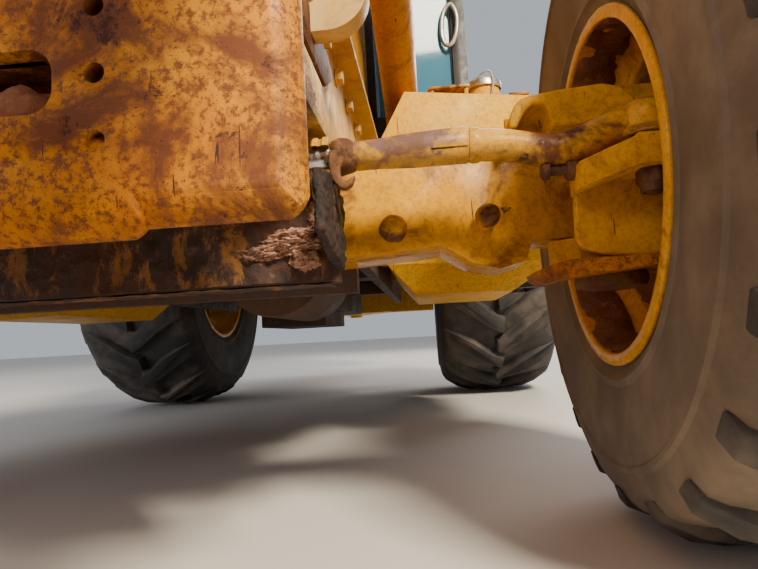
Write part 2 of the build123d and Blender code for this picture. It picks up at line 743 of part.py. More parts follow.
Wheel = namedtuple(
    "Wheel", "name side x y tyre_radius tyre_width rim_width rim_radius disc bore well holes"
)
WHEELS = [
    Wheel(
        "front_left", 1, FRONT_WHEEL_X, FRONT_AXLE_Y, FRONT_TYRE_RADIUS, FRONT_TYRE_WIDTH,
        FRONT_RIM_WIDTH, FRONT_RIM_RADIUS, FRONT_DISC, SPINDLE_RADIUS + PIN_CLEARANCE, 205, 6,
    ),
    Wheel(
        "front_right", -1, FRONT_WHEEL_X, FRONT_AXLE_Y, FRONT_TYRE_RADIUS, FRONT_TYRE_WIDTH,
        FRONT_RIM_WIDTH, FRONT_RIM_RADIUS, FRONT_DISC, SPINDLE_RADIUS + PIN_CLEARANCE, 205, 6,
    ),
    Wheel(
        "rear_left", 1, REAR_WHEEL_X, REAR_AXLE_Y, REAR_TYRE_RADIUS, REAR_TYRE_WIDTH,
        REAR_RIM_WIDTH, REAR_RIM_RADIUS, REAR_DISC, 60 + PIN_CLEARANCE, 285, 8,
    ),
    Wheel(
        "rear_right", -1, REAR_WHEEL_X, REAR_AXLE_Y, REAR_TYRE_RADIUS, REAR_TYRE_WIDTH,
        REAR_RIM_WIDTH, REAR_RIM_RADIUS, REAR_DISC, 60 + PIN_CLEARANCE, 285, 8,
    ),
]
DISC_THICKNESS = 14
HUB_DEPTH = 55
for wheel in WHEELS:
    middle = wheel.side * wheel.x
    outline = rim_outline(
        wheel.rim_width, wheel.rim_radius, wheel.disc, DISC_THICKNESS, wheel.bore, wheel.well
    )
    with BuildPart() as rim:
        wheel_section(outline, middle, wheel.y, wheel.tyre_radius, wheel.side)
        hub = [
            (wheel.disc - HUB_DEPTH, wheel.bore),
            (wheel.disc + 2, wheel.bore),
            (wheel.disc + 2, wheel.bore + 50),
            (wheel.disc - HUB_DEPTH, wheel.bore + 35),
        ]
        wheel_section(hub, middle, wheel.y, wheel.tyre_radius, wheel.side)
        hole_ring = (wheel.bore + 50 + wheel.well) / 2
        disc_middle = middle + wheel.side * wheel.disc
        with BuildSketch(Plane.YZ.offset(disc_middle - 30)) as hand_holes:
            with Locations((wheel.y, wheel.tyre_radius)):
                with PolarLocations(hole_ring, wheel.holes):
                    SlotOverall(wheel.well * 0.34, wheel.well * 0.2, rotation=90)
        extrude(hand_holes.sketch, amount=60, mode=Mode.SUBTRACT)
    rim.part.label = "rim_" + wheel.name
    export_step(rim.part, "parts/rim_" + wheel.name + ".step")

    with BuildPart() as tyre:
        outline = tyre_outline(wheel.tyre_width, wheel.tyre_radius, wheel.rim_width, wheel.rim_radius)
        wheel_section(outline, middle, wheel.y, wheel.tyre_radius, wheel.side)
    tyre.part.label = "tyre_" + wheel.name
    export_step(tyre.part, "parts/tyre_" + wheel.name + ".step")

# Driveline: the rear axle housing, the gearbox and the sump under the engine
ENGINE_BOTTOM = 510
REAR_AXLE_Z = REAR_TYRE_RADIUS
with BuildPart() as driveline:
    axle_reach = REAR_WHEEL_X + REAR_DISC - HUB_DEPTH - RUNNING_GAP
    cross_bar((REAR_AXLE_Y, REAR_AXLE_Z), 95, -axle_reach, axle_reach)
    axle_end = REAR_WHEEL_X + REAR_DISC + 60
    cross_bar((REAR_AXLE_Y, REAR_AXLE_Z), 60, -axle_end, axle_end)
    for side in SIDES:
        mount_from = side * RAIL_INSIDE
        mount_to = side * (FRAME_HALF_WIDTH + 30)
        block(
            min(mount_from, mount_to),
            max(mount_from, mount_to),
            behind(-110),
            behind(110),
            REAR_AXLE_Z,
            REAR_RAIL_BOTTOM,
        )
    with Locations((0, REAR_AXLE_Y, REAR_AXLE_Z)):
        Sphere(190)
    block(-170, 170, behind(-900), behind(-120), 400, 760)
    block(-RAIL_INSIDE, RAIL_INSIDE, behind(-480), behind(-420), 470, 560)
    block(-120, 120, behind(-860), behind(-380), 340, 420)
    # Sump under the engine, on the left
    bar((215, ahead(-200), 430), (215, ahead(-520), 430), 100)
    block(115, 315, ahead(-200), ahead(-520), 430, ENGINE_BOTTOM)
driveline.part.label = "driveline"
export_step(driveline.part, "parts/driveline.step")

ENGINE_FRONT = ahead(-160)
ENGINE_REAR = CAB_FRONT - 60
with BuildPart() as engine:
    block(-220, 220, ENGINE_FRONT, ENGINE_REAR, 560, 1180)
    block(-100, 150, ENGINE_FRONT + 40, ENGINE_REAR, ENGINE_BOTTOM, 600)
    # Mounts across to the sill plates
    block(-SILL_INSIDE, SILL_INSIDE, ahead(-600), ahead(-660), 570, 640)
engine.part.label = "engine"
export_step(engine.part, "parts/engine.step")

# Loader towers: a box column each side with a forked top for the arm and ears for the lift ram
with BuildPart() as loader_towers:
    for side in SIDES:
        middle = side * TOWER_X
        column = [
            (ARM_PIVOT[0] - 85, 640),
            (ARM_PIVOT[0] + 230, 640),
            (ARM_PIVOT[0] + 110, 1390),
            (ARM_PIVOT[0] + 80, 1540),
            (ARM_PIVOT[0] + 40, 1580),
            (ARM_PIVOT[0] - 40, 1580),
            (ARM_PIVOT[0] - 80, 1540),
            (ARM_PIVOT[0] - 85, 1390),
        ]
        side_slab(column, middle - ARM_HALF_WIDTH, middle + ARM_HALF_WIDTH)
        block(
            middle - ARM_HALF_WIDTH + 15,
            middle + ARM_HALF_WIDTH - 15,
            ARM_PIVOT[0] - 150,
            ARM_PIVOT[0] + 150,
            1375,
            1600,
            Mode.SUBTRACT,
        )
        cross_bar(ARM_PIVOT, PIVOT_PIN_RADIUS, middle - ARM_HALF_WIDTH, middle + ARM_HALF_WIDTH)
        # Ears for the lift ram's base
        for ear_side in SIDES:
            ear_inner = middle + ear_side * (LIFT_RAM.width / 2 + RUNNING_GAP)
            ear_outer = middle + ear_side * ARM_HALF_WIDTH
            low = min(ear_inner, ear_outer)
            high = max(ear_inner, ear_outer)
            cross_bar(LIFT_BASE, 46, low, high)
            side_slab(
                [
                    (LIFT_BASE[0], LIFT_BASE[1] - 46),
                    (ARM_PIVOT[0] - 80, LIFT_BASE[1] - 90),
                    (ARM_PIVOT[0] - 80, LIFT_BASE[1] + 46),
                    (LIFT_BASE[0], LIFT_BASE[1] + 46),
                ],
                low,
                high,
            )
        cross_bar(LIFT_BASE, LIFT_RAM.pin, middle - ARM_HALF_WIDTH, middle + ARM_HALF_WIDTH)
        # Foot that bolts to the frame's rail
        foot_inner = side * FRAME_HALF_WIDTH
        foot_outer = middle + side * ARM_HALF_WIDTH
        block(
            min(foot_inner, foot_outer),
            max(foot_inner, foot_outer),
            ARM_PIVOT[0] - 85,
            ARM_PIVOT[0] + 230,
            560,
            640,
        )
loader_towers.part.label = "loader_towers"
export_step(loader_towers.part, "parts/loader_towers.step")

# Loader arms: box arms that run forward from the towers and turn down to the bucket
ARM_TONGUE_HALF_WIDTH = 26
ARM_END_RADIUS = 68
LIFT_EYE_RELIEF = 116
arm_outline = [
    (ARM_PIVOT[0] - 120, ARM_PIVOT[1] - 80),
    (ahead(250), 1235),
    (ahead(520), 1060),
    (BUCKET_PIN[0] + 70, 165),
    (BUCKET_PIN[0] - 10, 260),
    (ahead(560), 1350),
    (ahead(330), 1440),
    (ARM_PIVOT[0] - 120, ARM_PIVOT[1] + 60),
]
TORQUE_TUBE = (ahead(960), 560)
TORQUE_TUBE_RADIUS = 55
TILT_EAR_PLATE = 14
with BuildPart() as loader_arms:
    for side in SIDES:
        middle = side * TOWER_X
        side_slab(arm_outline, middle - ARM_HALF_WIDTH, middle + ARM_HALF_WIDTH)
        cross_bar(BUCKET_PIN, ARM_END_RADIUS, middle - ARM_HALF_WIDTH, middle + ARM_HALF_WIDTH)
        # Tongue between the tower's fork plates
        tongue_low = middle - ARM_TONGUE_HALF_WIDTH
        tongue_high = middle + ARM_TONGUE_HALF_WIDTH
        side_slab(
            [
                (ARM_PIVOT[0], ARM_PIVOT[1] - 60),
                (ARM_PIVOT[0] - 130, ARM_PIVOT[1] - 75),
                (ARM_PIVOT[0] - 130, ARM_PIVOT[1] + 55),
                (ARM_PIVOT[0], ARM_PIVOT[1] + 60),
            ],
            tongue_low,
            tongue_high,
        )
        cross_bar(ARM_PIVOT, 60, tongue_low, tongue_high)
        # Ears under the arm for the lift rod, and on the knee for the tilt ram
        for ear_side in SIDES:
            lift_inner = middle + ear_side * (LIFT_RAM.width / 2 + RUNNING_GAP)
            lift_outer = middle + ear_side * ARM_HALF_WIDTH
            low = min(lift_inner, lift_outer)
            high = max(lift_inner, lift_outer)
            cross_bar(LIFT_TIP, 44, low, high)
            side_slab(
                [
                    (LIFT_TIP[0] - 44, LIFT_TIP[1]),
                    (LIFT_TIP[0] + 44, LIFT_TIP[1]),
                    (LIFT_TIP[0] + 90, LIFT_TIP[1] + 115),
                    (LIFT_TIP[0] - 90, LIFT_TIP[1] + 115),
                ],
                low,
                high,
            )
            tilt_inner = middle + ear_side * (TILT_RAM.width / 2 + RUNNING_GAP)
            tilt_outer = tilt_inner + ear_side * TILT_EAR_PLATE
            low = min(tilt_inner, tilt_outer)
            high = max(tilt_inner, tilt_outer)
            cross_bar(TILT_BASE, 45, low, high)
            side_slab(
                [
                    (ahead(340), 1400),
                    (ahead(560), 1300),
                    (TILT_BASE[0] - 30, TILT_BASE[1] - 36),
                    (TILT_BASE[0] + 20, TILT_BASE[1] + 42),
                ],
                low,
                high,
            )
        tilt_reach = TILT_RAM.width / 2 + RUNNING_GAP + TILT_EAR_PLATE
        cross_bar(TILT_BASE, TILT_RAM.pin, middle - tilt_reach, middle + tilt_reach)
    cross_bar(TORQUE_TUBE, TORQUE_TUBE_RADIUS, -TOWER_X, TOWER_X)
    for side in SIDES:
        middle = side * TOWER_X
        # Relief in the arm's underside for the lift rod's eye
        relief = LIFT_RAM.width / 2 + RUNNING_GAP
        cross_bar(LIFT_TIP, LIFT_EYE_RELIEF, middle - relief, middle + relief, Mode.SUBTRACT)
        reach = ARM_HALF_WIDTH + 1
        for place in (ARM_PIVOT, BUCKET_PIN):
            bore = PIVOT_PIN_RADIUS + PIN_CLEARANCE
            cross_bar(place, bore, middle - reach, middle + reach, Mode.SUBTRACT)
loader_arms.part.label = "loader_arms"
export_step(loader_arms.part, "parts/loader_arms.step")

# Loader bucket: a curved shell with end plates, a cutting edge and two pairs of ears
BUCKET_BACK = ahead(1345)
BUCKET_TIP = BUCKET_BACK - 785
BUCKET_HEIGHT = 680
bucket_outside = [
    (BUCKET_TIP, 0),
    (BUCKET_BACK - 160, 0),
    (BUCKET_BACK, 150),
    (BUCKET_BACK, 480),
    (BUCKET_BACK - 120, BUCKET_HEIGHT),
    (BUCKET_BACK - 215, BUCKET_HEIGHT + 20),
]
bucket_inside = [
    (BUCKET_BACK - 218, BUCKET_HEIGHT + 8),
    (BUCKET_BACK - 128, BUCKET_HEIGHT - 12),
    (BUCKET_BACK - LOADER_BUCKET_WALL, 476),
    (BUCKET_BACK - LOADER_BUCKET_WALL, 155),
    (BUCKET_BACK - 165, 18),
    (BUCKET_TIP, 18),
]
BUCKET_EAR = 20
BUCKET_END_PLATE = 20
with BuildPart() as loader_bucket:
    half = LOADER_BUCKET_WIDTH / 2
    side_slab(bucket_outside + bucket_inside, -half, half)
    end_plate = [
        (BUCKET_TIP + 25, 0),
        (BUCKET_BACK - 160, 0),
        (BUCKET_BACK, 150),
        (BUCKET_BACK, 480),
        (BUCKET_BACK - 120, BUCKET_HEIGHT),
        (BUCKET_BACK - 215, BUCKET_HEIGHT + 20),
        (BUCKET_TIP + 120, 120),
    ]
    side_slab(end_plate, -half, -half + BUCKET_END_PLATE)
    side_slab(end_plate, half - BUCKET_END_PLATE, half)
    for side in SIDES:
        middle = side * TOWER_X
        for ear_side in SIDES:
            inner = middle + ear_side * (ARM_HALF_WIDTH + RUNNING_GAP)
            outer = inner + ear_side * BUCKET_EAR
            low = min(inner, outer)
            high = max(inner, outer)
            side_slab(
                [
                    (BUCKET_BACK, 80),
                    (BUCKET_PIN[0] + 50, BUCKET_PIN[1] - 60),
                    (BUCKET_PIN[0] + 60, BUCKET_PIN[1] + 40),
                    (TILT_TIP[0] + 50, TILT_TIP[1] + 20),
                    (TILT_TIP[0] + 10, TILT_TIP[1] + 55),
                    (BUCKET_BACK, 600),
                    (BUCKET_BACK - 70, 600),
                    (BUCKET_BACK - 6, 480),
                    (BUCKET_BACK - 6, 150),
                ],
                low,
                high,
            )
        reach = ARM_HALF_WIDTH + RUNNING_GAP + BUCKET_EAR
        cross_bar(BUCKET_PIN, PIVOT_PIN_RADIUS, middle - reach, middle + reach)
loader_bucket.part.label = "loader_bucket"
export_step(loader_bucket.part, "parts/loader_bucket.step")

# Lift and tilt rams, a pair of each
for ram, name in ((LIFT_RAM, "lift"), (TILT_RAM, "tilt")):
    with BuildPart() as barrels:
        for side in SIDES:
            add_barrel(ram, side * TOWER_X)
    barrels.part.label = name + "_barrels"
    export_step(barrels.part, "parts/" + name + "_barrels.step")
    with BuildPart() as rods:
        for side in SIDES:
            add_rod(ram, side * TOWER_X)
    rods.part.label = name + "_rods"
    export_step(rods.part, "parts/" + name + "_rods.step")

# Hood with rounded shoulders, hinged at its front, and the grille that tips with it
HOOD_HALF_WIDTH = 335
HOOD_FRONT = ahead(200)
HOOD_REAR = CAB_FRONT - 40
HOOD_BOTTOM = SILL_TOP + FLANGE_THICKNESS + RUNNING_GAP
HOOD_TOP_FRONT = 1330
HOOD_TOP_REAR = 1470
HOOD_SHEET = 12
HOOD_SHOULDER = 60
HOOD_CROWN = 30
with BuildPart() as hood:
    side_slab(
        [
            (HOOD_FRONT, HOOD_BOTTOM),
            (HOOD_REAR, HOOD_BOTTOM + 120),
            (HOOD_REAR, HOOD_TOP_REAR),
            (HOOD_FRONT, HOOD_TOP_FRONT),
        ],
        -HOOD_HALF_WIDTH,
        HOOD_HALF_WIDTH,
    )
    shoulders = hood.faces().sort_by(Axis.Z)[-1].edges().sort_by(Axis.X)
    fillet([shoulders[0], shoulders[-1]], radius=HOOD_SHOULDER)
    side_slab(
        [
            (HOOD_FRONT - 1, HOOD_BOTTOM - 1),
            (HOOD_REAR + 1, HOOD_BOTTOM - 1),
            (HOOD_REAR + 1, HOOD_TOP_REAR - HOOD_SHEET - HOOD_CROWN),
            (HOOD_FRONT - 1, HOOD_TOP_FRONT - HOOD_SHEET - HOOD_CROWN),
        ],
        -HOOD_HALF_WIDTH + HOOD_SHEET,
        HOOD_HALF_WIDTH - HOOD_SHEET,
        Mode.SUBTRACT,
    )
hood.part.label = "hood"
export_step(hood.part, "parts/hood.step")

GRILLE_FRONT = ahead(245)
GRILLE_MARGIN = 60
GRILLE_BARS = 5
GRILLE_BAR_HEIGHT = 14
GRILLE_BAR_PITCH = 55
with BuildPart() as grille:
    block(-HOOD_HALF_WIDTH, HOOD_HALF_WIDTH, GRILLE_FRONT, HOOD_FRONT, HOOD_BOTTOM, HOOD_TOP_FRONT - 10)
    block(
        -HOOD_HALF_WIDTH + GRILLE_MARGIN,
        HOOD_HALF_WIDTH - GRILLE_MARGIN,
        GRILLE_FRONT - 1,
        GRILLE_FRONT + 30,
        HOOD_BOTTOM + 90,
        HOOD_TOP_FRONT - 190,
        Mode.SUBTRACT,
    )
    # Slots for the hinge ears, and bores for their pins
    for side in SIDES:
        hinge_x = side * HOOD_HINGE_X
        block(
            hinge_x - HOOD_HINGE_EAR / 2 - RUNNING_GAP,
            hinge_x + HOOD_HINGE_EAR / 2 + RUNNING_GAP,
            GRILLE_FRONT - 1,
            HOOD_FRONT + 1,
            HOOD_BOTTOM - 1,
            HOOD_HINGE[1] + 40,
            Mode.SUBTRACT,
        )
        cross_bar(
            HOOD_HINGE,
            HOOD_HINGE_PIN + PIN_CLEARANCE,
            hinge_x - HOOD_HINGE_REACH - 1,
            hinge_x + HOOD_HINGE_REACH + 1,
            Mode.SUBTRACT,
        )
    for bar_index in range(GRILLE_BARS):
        bar_z = HOOD_BOTTOM + 130 + bar_index * GRILLE_BAR_PITCH
        block(
            -HOOD_HALF_WIDTH + GRILLE_MARGIN,
            HOOD_HALF_WIDTH - GRILLE_MARGIN,
            GRILLE_FRONT + 4,
            GRILLE_FRONT + 31,
            bar_z,
            bar_z + GRILLE_BAR_HEIGHT,
        )
grille.part.label = "grille"
export_step(grille.part, "parts/grille.step")

# Tanks beside the frame, with a sloping front face and a tapered bottom
TANK_TOP = 885
TANK_BOTTOM = 455
TANK_LOW = 385
TANK_INNER = FLANGE_EDGE + 1
TANK_OUTER = 830
TANK_SLOPE = 125
TANK_REAR = CAB_FRONT + 50
with BuildPart() as side_tanks:
    tank_plan = [
        (TANK_INNER, ahead(-530)),
        (TANK_OUTER, ahead(-650)),
        (TANK_OUTER, TANK_REAR),
        (TANK_INNER, TANK_REAR),
    ]
    plan_slab(tank_plan, TANK_BOTTOM, TANK_TOP)
    low_plan = [
        (TANK_INNER + 60, ahead(-600)),
        (TANK_OUTER - 110, ahead(-690)),
        (TANK_OUTER - 110, TANK_REAR - 60),
        (TANK_INNER + 60, TANK_REAR - 60),
    ]
    with BuildSketch(Plane.XY.offset(TANK_LOW)) as low_section:
        Polygon(*low_plan)
    with BuildSketch(Plane.XY.offset(TANK_BOTTOM)) as high_section:
        Polygon(*tank_plan)
    loft([low_section.sketch.face(), high_section.sketch.face()])
    # The inner top edge slopes in to the frame
    front_slab(
        [
            (TANK_INNER - 1, TANK_TOP - TANK_SLOPE),
            (TANK_INNER + 65, TANK_TOP + 1),
            (TANK_INNER - 1, TANK_TOP + 1),
        ],
        ahead(-500),
        TANK_REAR + 1,
        Mode.SUBTRACT,
    )
    block(FRAME_HALF_WIDTH, TANK_INNER + 1, ahead(-700), ahead(-640), 470, 550)
    block(FRAME_HALF_WIDTH, TANK_INNER + 1, TANK_REAR - 90, TANK_REAR - 30, 470, 550)
    block(
        TOWER_X - ARM_HALF_WIDTH - 6,
        TOWER_X + ARM_HALF_WIDTH + 6,
        LIFT_BASE[0] - 135,
        TANK_REAR + 1,
        540,
        TANK_TOP + 1,
        Mode.SUBTRACT,
    )
    mirror(about=Plane.YZ)
    bar((672, ahead(-700), TANK_TOP - 5), (672, ahead(-700), TANK_TOP + 62), 28)
side_tanks.part.label = "side_tanks"
export_step(side_tanks.part, "parts/side_tanks.step")

# Cab: posts and rails round the operator, the floor and the rear body between the tyres
BODY_HALF_WIDTH = 485
BODY_PLATE = 15
SHELF_PLATE = 20
CAB_UNDERSIDE = CAB_FLOOR - 40
ROOF_RAIL_BOTTOM = CAB_EAVES - 60
QUARTER_KERB = 90
FRONT_KERB = 120
REAR_SILL = 40
FENDER_OUTER = REAR_WHEEL_X + REAR_TYRE_WIDTH / 2 + 20
FENDER_SHEET = 15
FENDER_RADIUS = REAR_TYRE_RADIUS + 65 + FENDER_SHEET
FENDER_LIP = 40
FENDER_START = 21
FENDER_END = 142
BODY_ARC = (25, 40, 55, 70, 80)


def fender_point(angle, radius):
    """A (y, z) point round the rear axle, by its angle up from level ahead of it."""
    return turned((REAR_AXLE_Y, REAR_AXLE_Z), 180 - angle, radius, 0)


FLOOR_END = fender_point(FENDER_START, FENDER_RADIUS)[0] - 1


def fender_sheet(inner_radius, x_from, x_to):
    """An arched sheet over the rear tyre, between two places across the machine."""
    with BuildSketch(Plane.YZ.offset(min(x_from, x_to))) as arch:
        with BuildLine():
            middle = (REAR_AXLE_Y, REAR_AXLE_Z)
            outside = CenterArc(middle, FENDER_RADIUS, 180 - FENDER_END, FENDER_END - FENDER_START)
            inside = CenterArc(middle, inner_radius, 180 - FENDER_END, FENDER_END - FENDER_START)
            Line(outside @ 0, inside @ 0)
            Line(outside @ 1, inside @ 1)
        make_face()
    extrude(arch.sketch, amount=abs(x_to - x_from))


with BuildPart() as fenders:
    for side in SIDES:
        fender_sheet(FENDER_RADIUS - FENDER_SHEET, side * BODY_HALF_WIDTH, side * FENDER_OUTER)
        lip_inner = side * (FENDER_OUTER - FENDER_SHEET)
        fender_sheet(FENDER_RADIUS - FENDER_LIP, lip_inner, side * FENDER_OUTER)
fenders.part.label = "fenders"
export_step(fenders.part, "parts/fenders.step")


def post(x, y, z_from, z_to):
    """A square post or a stretch of one."""
    block(x - CAB_POST / 2, x + CAB_POST / 2, y - CAB_POST / 2, y + CAB_POST / 2, z_from, z_to)


def beam(start, end, z_from, z_to):
    """A rail between two (x, y) places, as wide as a post."""
    run = Vector(end[0] - start[0], end[1] - start[1])
    aside = Vector(-run.Y, run.X).normalized() * CAB_POST / 2
    plan_slab(
        [
            (start[0] + aside.X, start[1] + aside.Y),
            (end[0] + aside.X, end[1] + aside.Y),
            (end[0] - aside.X, end[1] - aside.Y),
            (start[0] - aside.X, start[1] - aside.Y),
        ],
        z_from,
        z_to,
    )


INSET = CAB_POST / 2
FRONT_POST_X = CAB_FRONT_HALF_WIDTH - INSET
SIDE_POST_X = CAB_HALF_WIDTH - INSET
FRONT_POST_Y = CAB_FRONT + INSET
CORNER_POST_Y = CAB_CORNER_Y
REAR_POST_Y = CAB_REAR - INSET
DOOR_FRONT = CORNER_POST_Y + CAB_POST
DOOR_REAR = CAB_REAR - 420
DOOR_HINGE_X = CAB_HALF_WIDTH - 6
DOOR_HINGE_Y = DOOR_FRONT + 2
DOOR_HINGE_PIN = 6
DOOR_HINGE_BARREL = 12
DOOR_HINGE_LENGTH = 60
DOOR_HINGE_HEIGHTS = (CAB_FLOOR + 300, CAB_EAVES - 350)
with BuildPart() as cab_frame:
    # Floor, front bulkhead and the lower body between the tyres
    block(-BODY_HALF_WIDTH, BODY_HALF_WIDTH, FRONT_POST_Y, CAB_REAR, CAB_UNDERSIDE, CAB_FLOOR)
    plan_slab(
        [
            (-CAB_FRONT_HALF_WIDTH, CAB_FRONT),
            (CAB_FRONT_HALF_WIDTH, CAB_FRONT),
            (CAB_HALF_WIDTH, CAB_CORNER_Y),
            (CAB_HALF_WIDTH, FLOOR_END),
            (-CAB_HALF_WIDTH, FLOOR_END),
            (-CAB_HALF_WIDTH, CAB_CORNER_Y),
        ],
        CAB_UNDERSIDE,
        CAB_FLOOR,
    )
    for side in SIDES:
        wall_inner = side * (BODY_HALF_WIDTH - BODY_PLATE)
        wall_outer = side * BODY_HALF_WIDTH
        body_edge = [fender_point(angle, FENDER_RADIUS) for angle in BODY_ARC]
        side_slab(
            [(body_edge[0][0], CAB_FLOOR - 1)]
            + body_edge
            + [
                (DOOR_REAR + RUNNING_GAP, CAB_WAIST - 1),
                (CAB_REAR, CAB_WAIST - 1),
                (CAB_REAR, CAB_FLOOR - 1),
            ],
            min(wall_inner, wall_outer),
            max(wall_inner, wall_outer),
        )
        # Shelf over the fender that the rear posts stand on
        shelf_outer = side * CAB_HALF_WIDTH
        block(
            min(wall_inner, shelf_outer),
            max(wall_inner, shelf_outer),
            DOOR_REAR + RUNNING_GAP,
            CAB_REAR,
            CAB_WAIST - SHELF_PLATE,
            CAB_WAIST,
        )
        post(side * FRONT_POST_X, FRONT_POST_Y, CAB_UNDERSIDE, CAB_EAVES)
        post(side * SIDE_POST_X, CORNER_POST_Y + INSET, CAB_UNDERSIDE, CAB_EAVES)
        post(side * SIDE_POST_X, REAR_POST_Y, CAB_WAIST - 5, CAB_EAVES)
        post(side * SIDE_POST_X, DOOR_REAR + RUNNING_GAP + INSET, CAB_WAIST - 5, CAB_EAVES - 50)
        block(
            min(wall_inner, shelf_outer),
            max(wall_inner, shelf_outer),
            REAR_POST_Y - INSET,
            CAB_REAR,
            CAB_WAIST - SHELF_PLATE,
            CAB_WAIST + REAR_SILL,
        )
        # Roof rails and the sill of the front quarter
        front_corner = (side * FRONT_POST_X, FRONT_POST_Y)
        side_corner = (side * SIDE_POST_X, CORNER_POST_Y + INSET)
        beam(front_corner, side_corner, CAB_UNDERSIDE, CAB_FLOOR + QUARTER_KERB)
        beam(front_corner, side_corner, ROOF_RAIL_BOTTOM, CAB_EAVES)
        rail_end = (side * SIDE_POST_X, CAB_REAR)
        beam((side * SIDE_POST_X, CORNER_POST_Y), rail_end, ROOF_RAIL_BOTTOM, CAB_EAVES)
    left_front = (FRONT_POST_X, FRONT_POST_Y)
    right_front = (-FRONT_POST_X, FRONT_POST_Y)
    beam(right_front, left_front, CAB_UNDERSIDE, CAB_FLOOR + FRONT_KERB)
    beam(right_front, left_front, ROOF_RAIL_BOTTOM, CAB_EAVES)
    beam((-SIDE_POST_X, REAR_POST_Y), (SIDE_POST_X, REAR_POST_Y), ROOF_RAIL_BOTTOM, CAB_EAVES)
    block(
        -BODY_HALF_WIDTH,
        BODY_HALF_WIDTH,
        CAB_REAR - BODY_PLATE,
        CAB_REAR,
        CAB_UNDERSIDE,
        CAB_WAIST + REAR_SILL,
    )
    # Door hinges: a pocket in the corner post for the door's barrel, and the pin through it
    for side in SIDES:
        hinge_x = side * DOOR_HINGE_X
        for low in DOOR_HINGE_HEIGHTS:
            high = low + DOOR_HINGE_LENGTH
            bar(
                (hinge_x, DOOR_HINGE_Y, low - RUNNING_GAP),
                (hinge_x, DOOR_HINGE_Y, high + RUNNING_GAP),
                DOOR_HINGE_BARREL + 1,
                Mode.SUBTRACT,
            )
            bar((hinge_x, DOOR_HINGE_Y, low - 25), (hinge_x, DOOR_HINGE_Y, high + 25), DOOR_HINGE_PIN)
    # Mounts down to the frame's rails
    for side in SIDES:
        for mount_y in (CAB_FRONT + 60, behind(60)):
            mount_inner = side * RAIL_INSIDE
            mount_outer = side * FRAME_HALF_WIDTH
            top = CAB_UNDERSIDE
            rail_top = SILL_TOP if mount_y < behind(-520) else REAR_RAIL_TOP
            block(
                min(mount_inner, mount_outer),
                max(mount_inner, mount_outer),
                mount_y,
                mount_y + 80,
                rail_top,
                top,
            )
cab_frame.part.label = "cab_frame"
export_step(cab_frame.part, "parts/cab_frame.step")

ROOF_OVERHANG = 70
with BuildPart() as cab_roof:
    roof_plan = [
        (-CAB_FRONT_HALF_WIDTH - 40, CAB_FRONT - ROOF_OVERHANG),
        (CAB_FRONT_HALF_WIDTH + 40, CAB_FRONT - ROOF_OVERHANG),
        (CAB_HALF_WIDTH + 40, CAB_CORNER_Y - 40),
        (CAB_HALF_WIDTH + 40, CAB_REAR + ROOF_OVERHANG),
        (-CAB_HALF_WIDTH - 40, CAB_REAR + ROOF_OVERHANG),
        (-CAB_HALF_WIDTH - 40, CAB_CORNER_Y - 40),
    ]
    plan_slab(roof_plan, CAB_EAVES, CAB_ROOF_TOP)
    fillet(cab_roof.edges().filter_by(Axis.Z), radius=70)
    chamfer(cab_roof.faces().sort_by(Axis.Z)[-1].edges(), length=40)
cab_roof.part.label = "cab_roof"
export_step(cab_roof.part, "parts/cab_roof.step")

# Glass: windshield, front quarters, rear window and rear side windows
WINDSHIELD_SILL = CAB_FLOOR + FRONT_KERB
QUARTER_SILL = CAB_FLOOR + QUARTER_KERB
GLASS_TOP = ROOF_RAIL_BOTTOM
with BuildPart() as cab_glass:
    glass_x = FRONT_POST_X - INSET
    block(
        -glass_x,
        glass_x,
        FRONT_POST_Y - GLASS_THICKNESS / 2,
        FRONT_POST_Y + GLASS_THICKNESS / 2,
        WINDSHIELD_SILL,
        GLASS_TOP,
    )
    block(
        -SIDE_POST_X + INSET,
        SIDE_POST_X - INSET,
        REAR_POST_Y - GLASS_THICKNESS / 2,
        REAR_POST_Y + GLASS_THICKNESS / 2,
        CAB_WAIST + REAR_SILL,
        GLASS_TOP,
    )
    for side in SIDES:
        start = Vector(side * FRONT_POST_X, FRONT_POST_Y)
        end = Vector(side * SIDE_POST_X, CORNER_POST_Y + INSET)
        run = (end - start).normalized()
        first = start + run * 36
        last = end - run * 36
        aside = Vector(-run.Y, run.X) * GLASS_THICKNESS / 2
        plan_slab(
            [
                (first.X + aside.X, first.Y + aside.Y),
                (last.X + aside.X, last.Y + aside.Y),
                (last.X - aside.X, last.Y - aside.Y),
                (first.X - aside.X, first.Y - aside.Y),
            ],
            QUARTER_SILL,
            GLASS_TOP,
        )
        pane = side * SIDE_POST_X
        block(
            pane - GLASS_THICKNESS / 2,
            pane + GLASS_THICKNESS / 2,
            DOOR_REAR + RUNNING_GAP + CAB_POST,
            REAR_POST_Y - INSET,
            CAB_WAIST,
            GLASS_TOP,
        )
cab_glass.part.label = "cab_glass"
export_step(cab_glass.part, "parts/cab_glass.step")

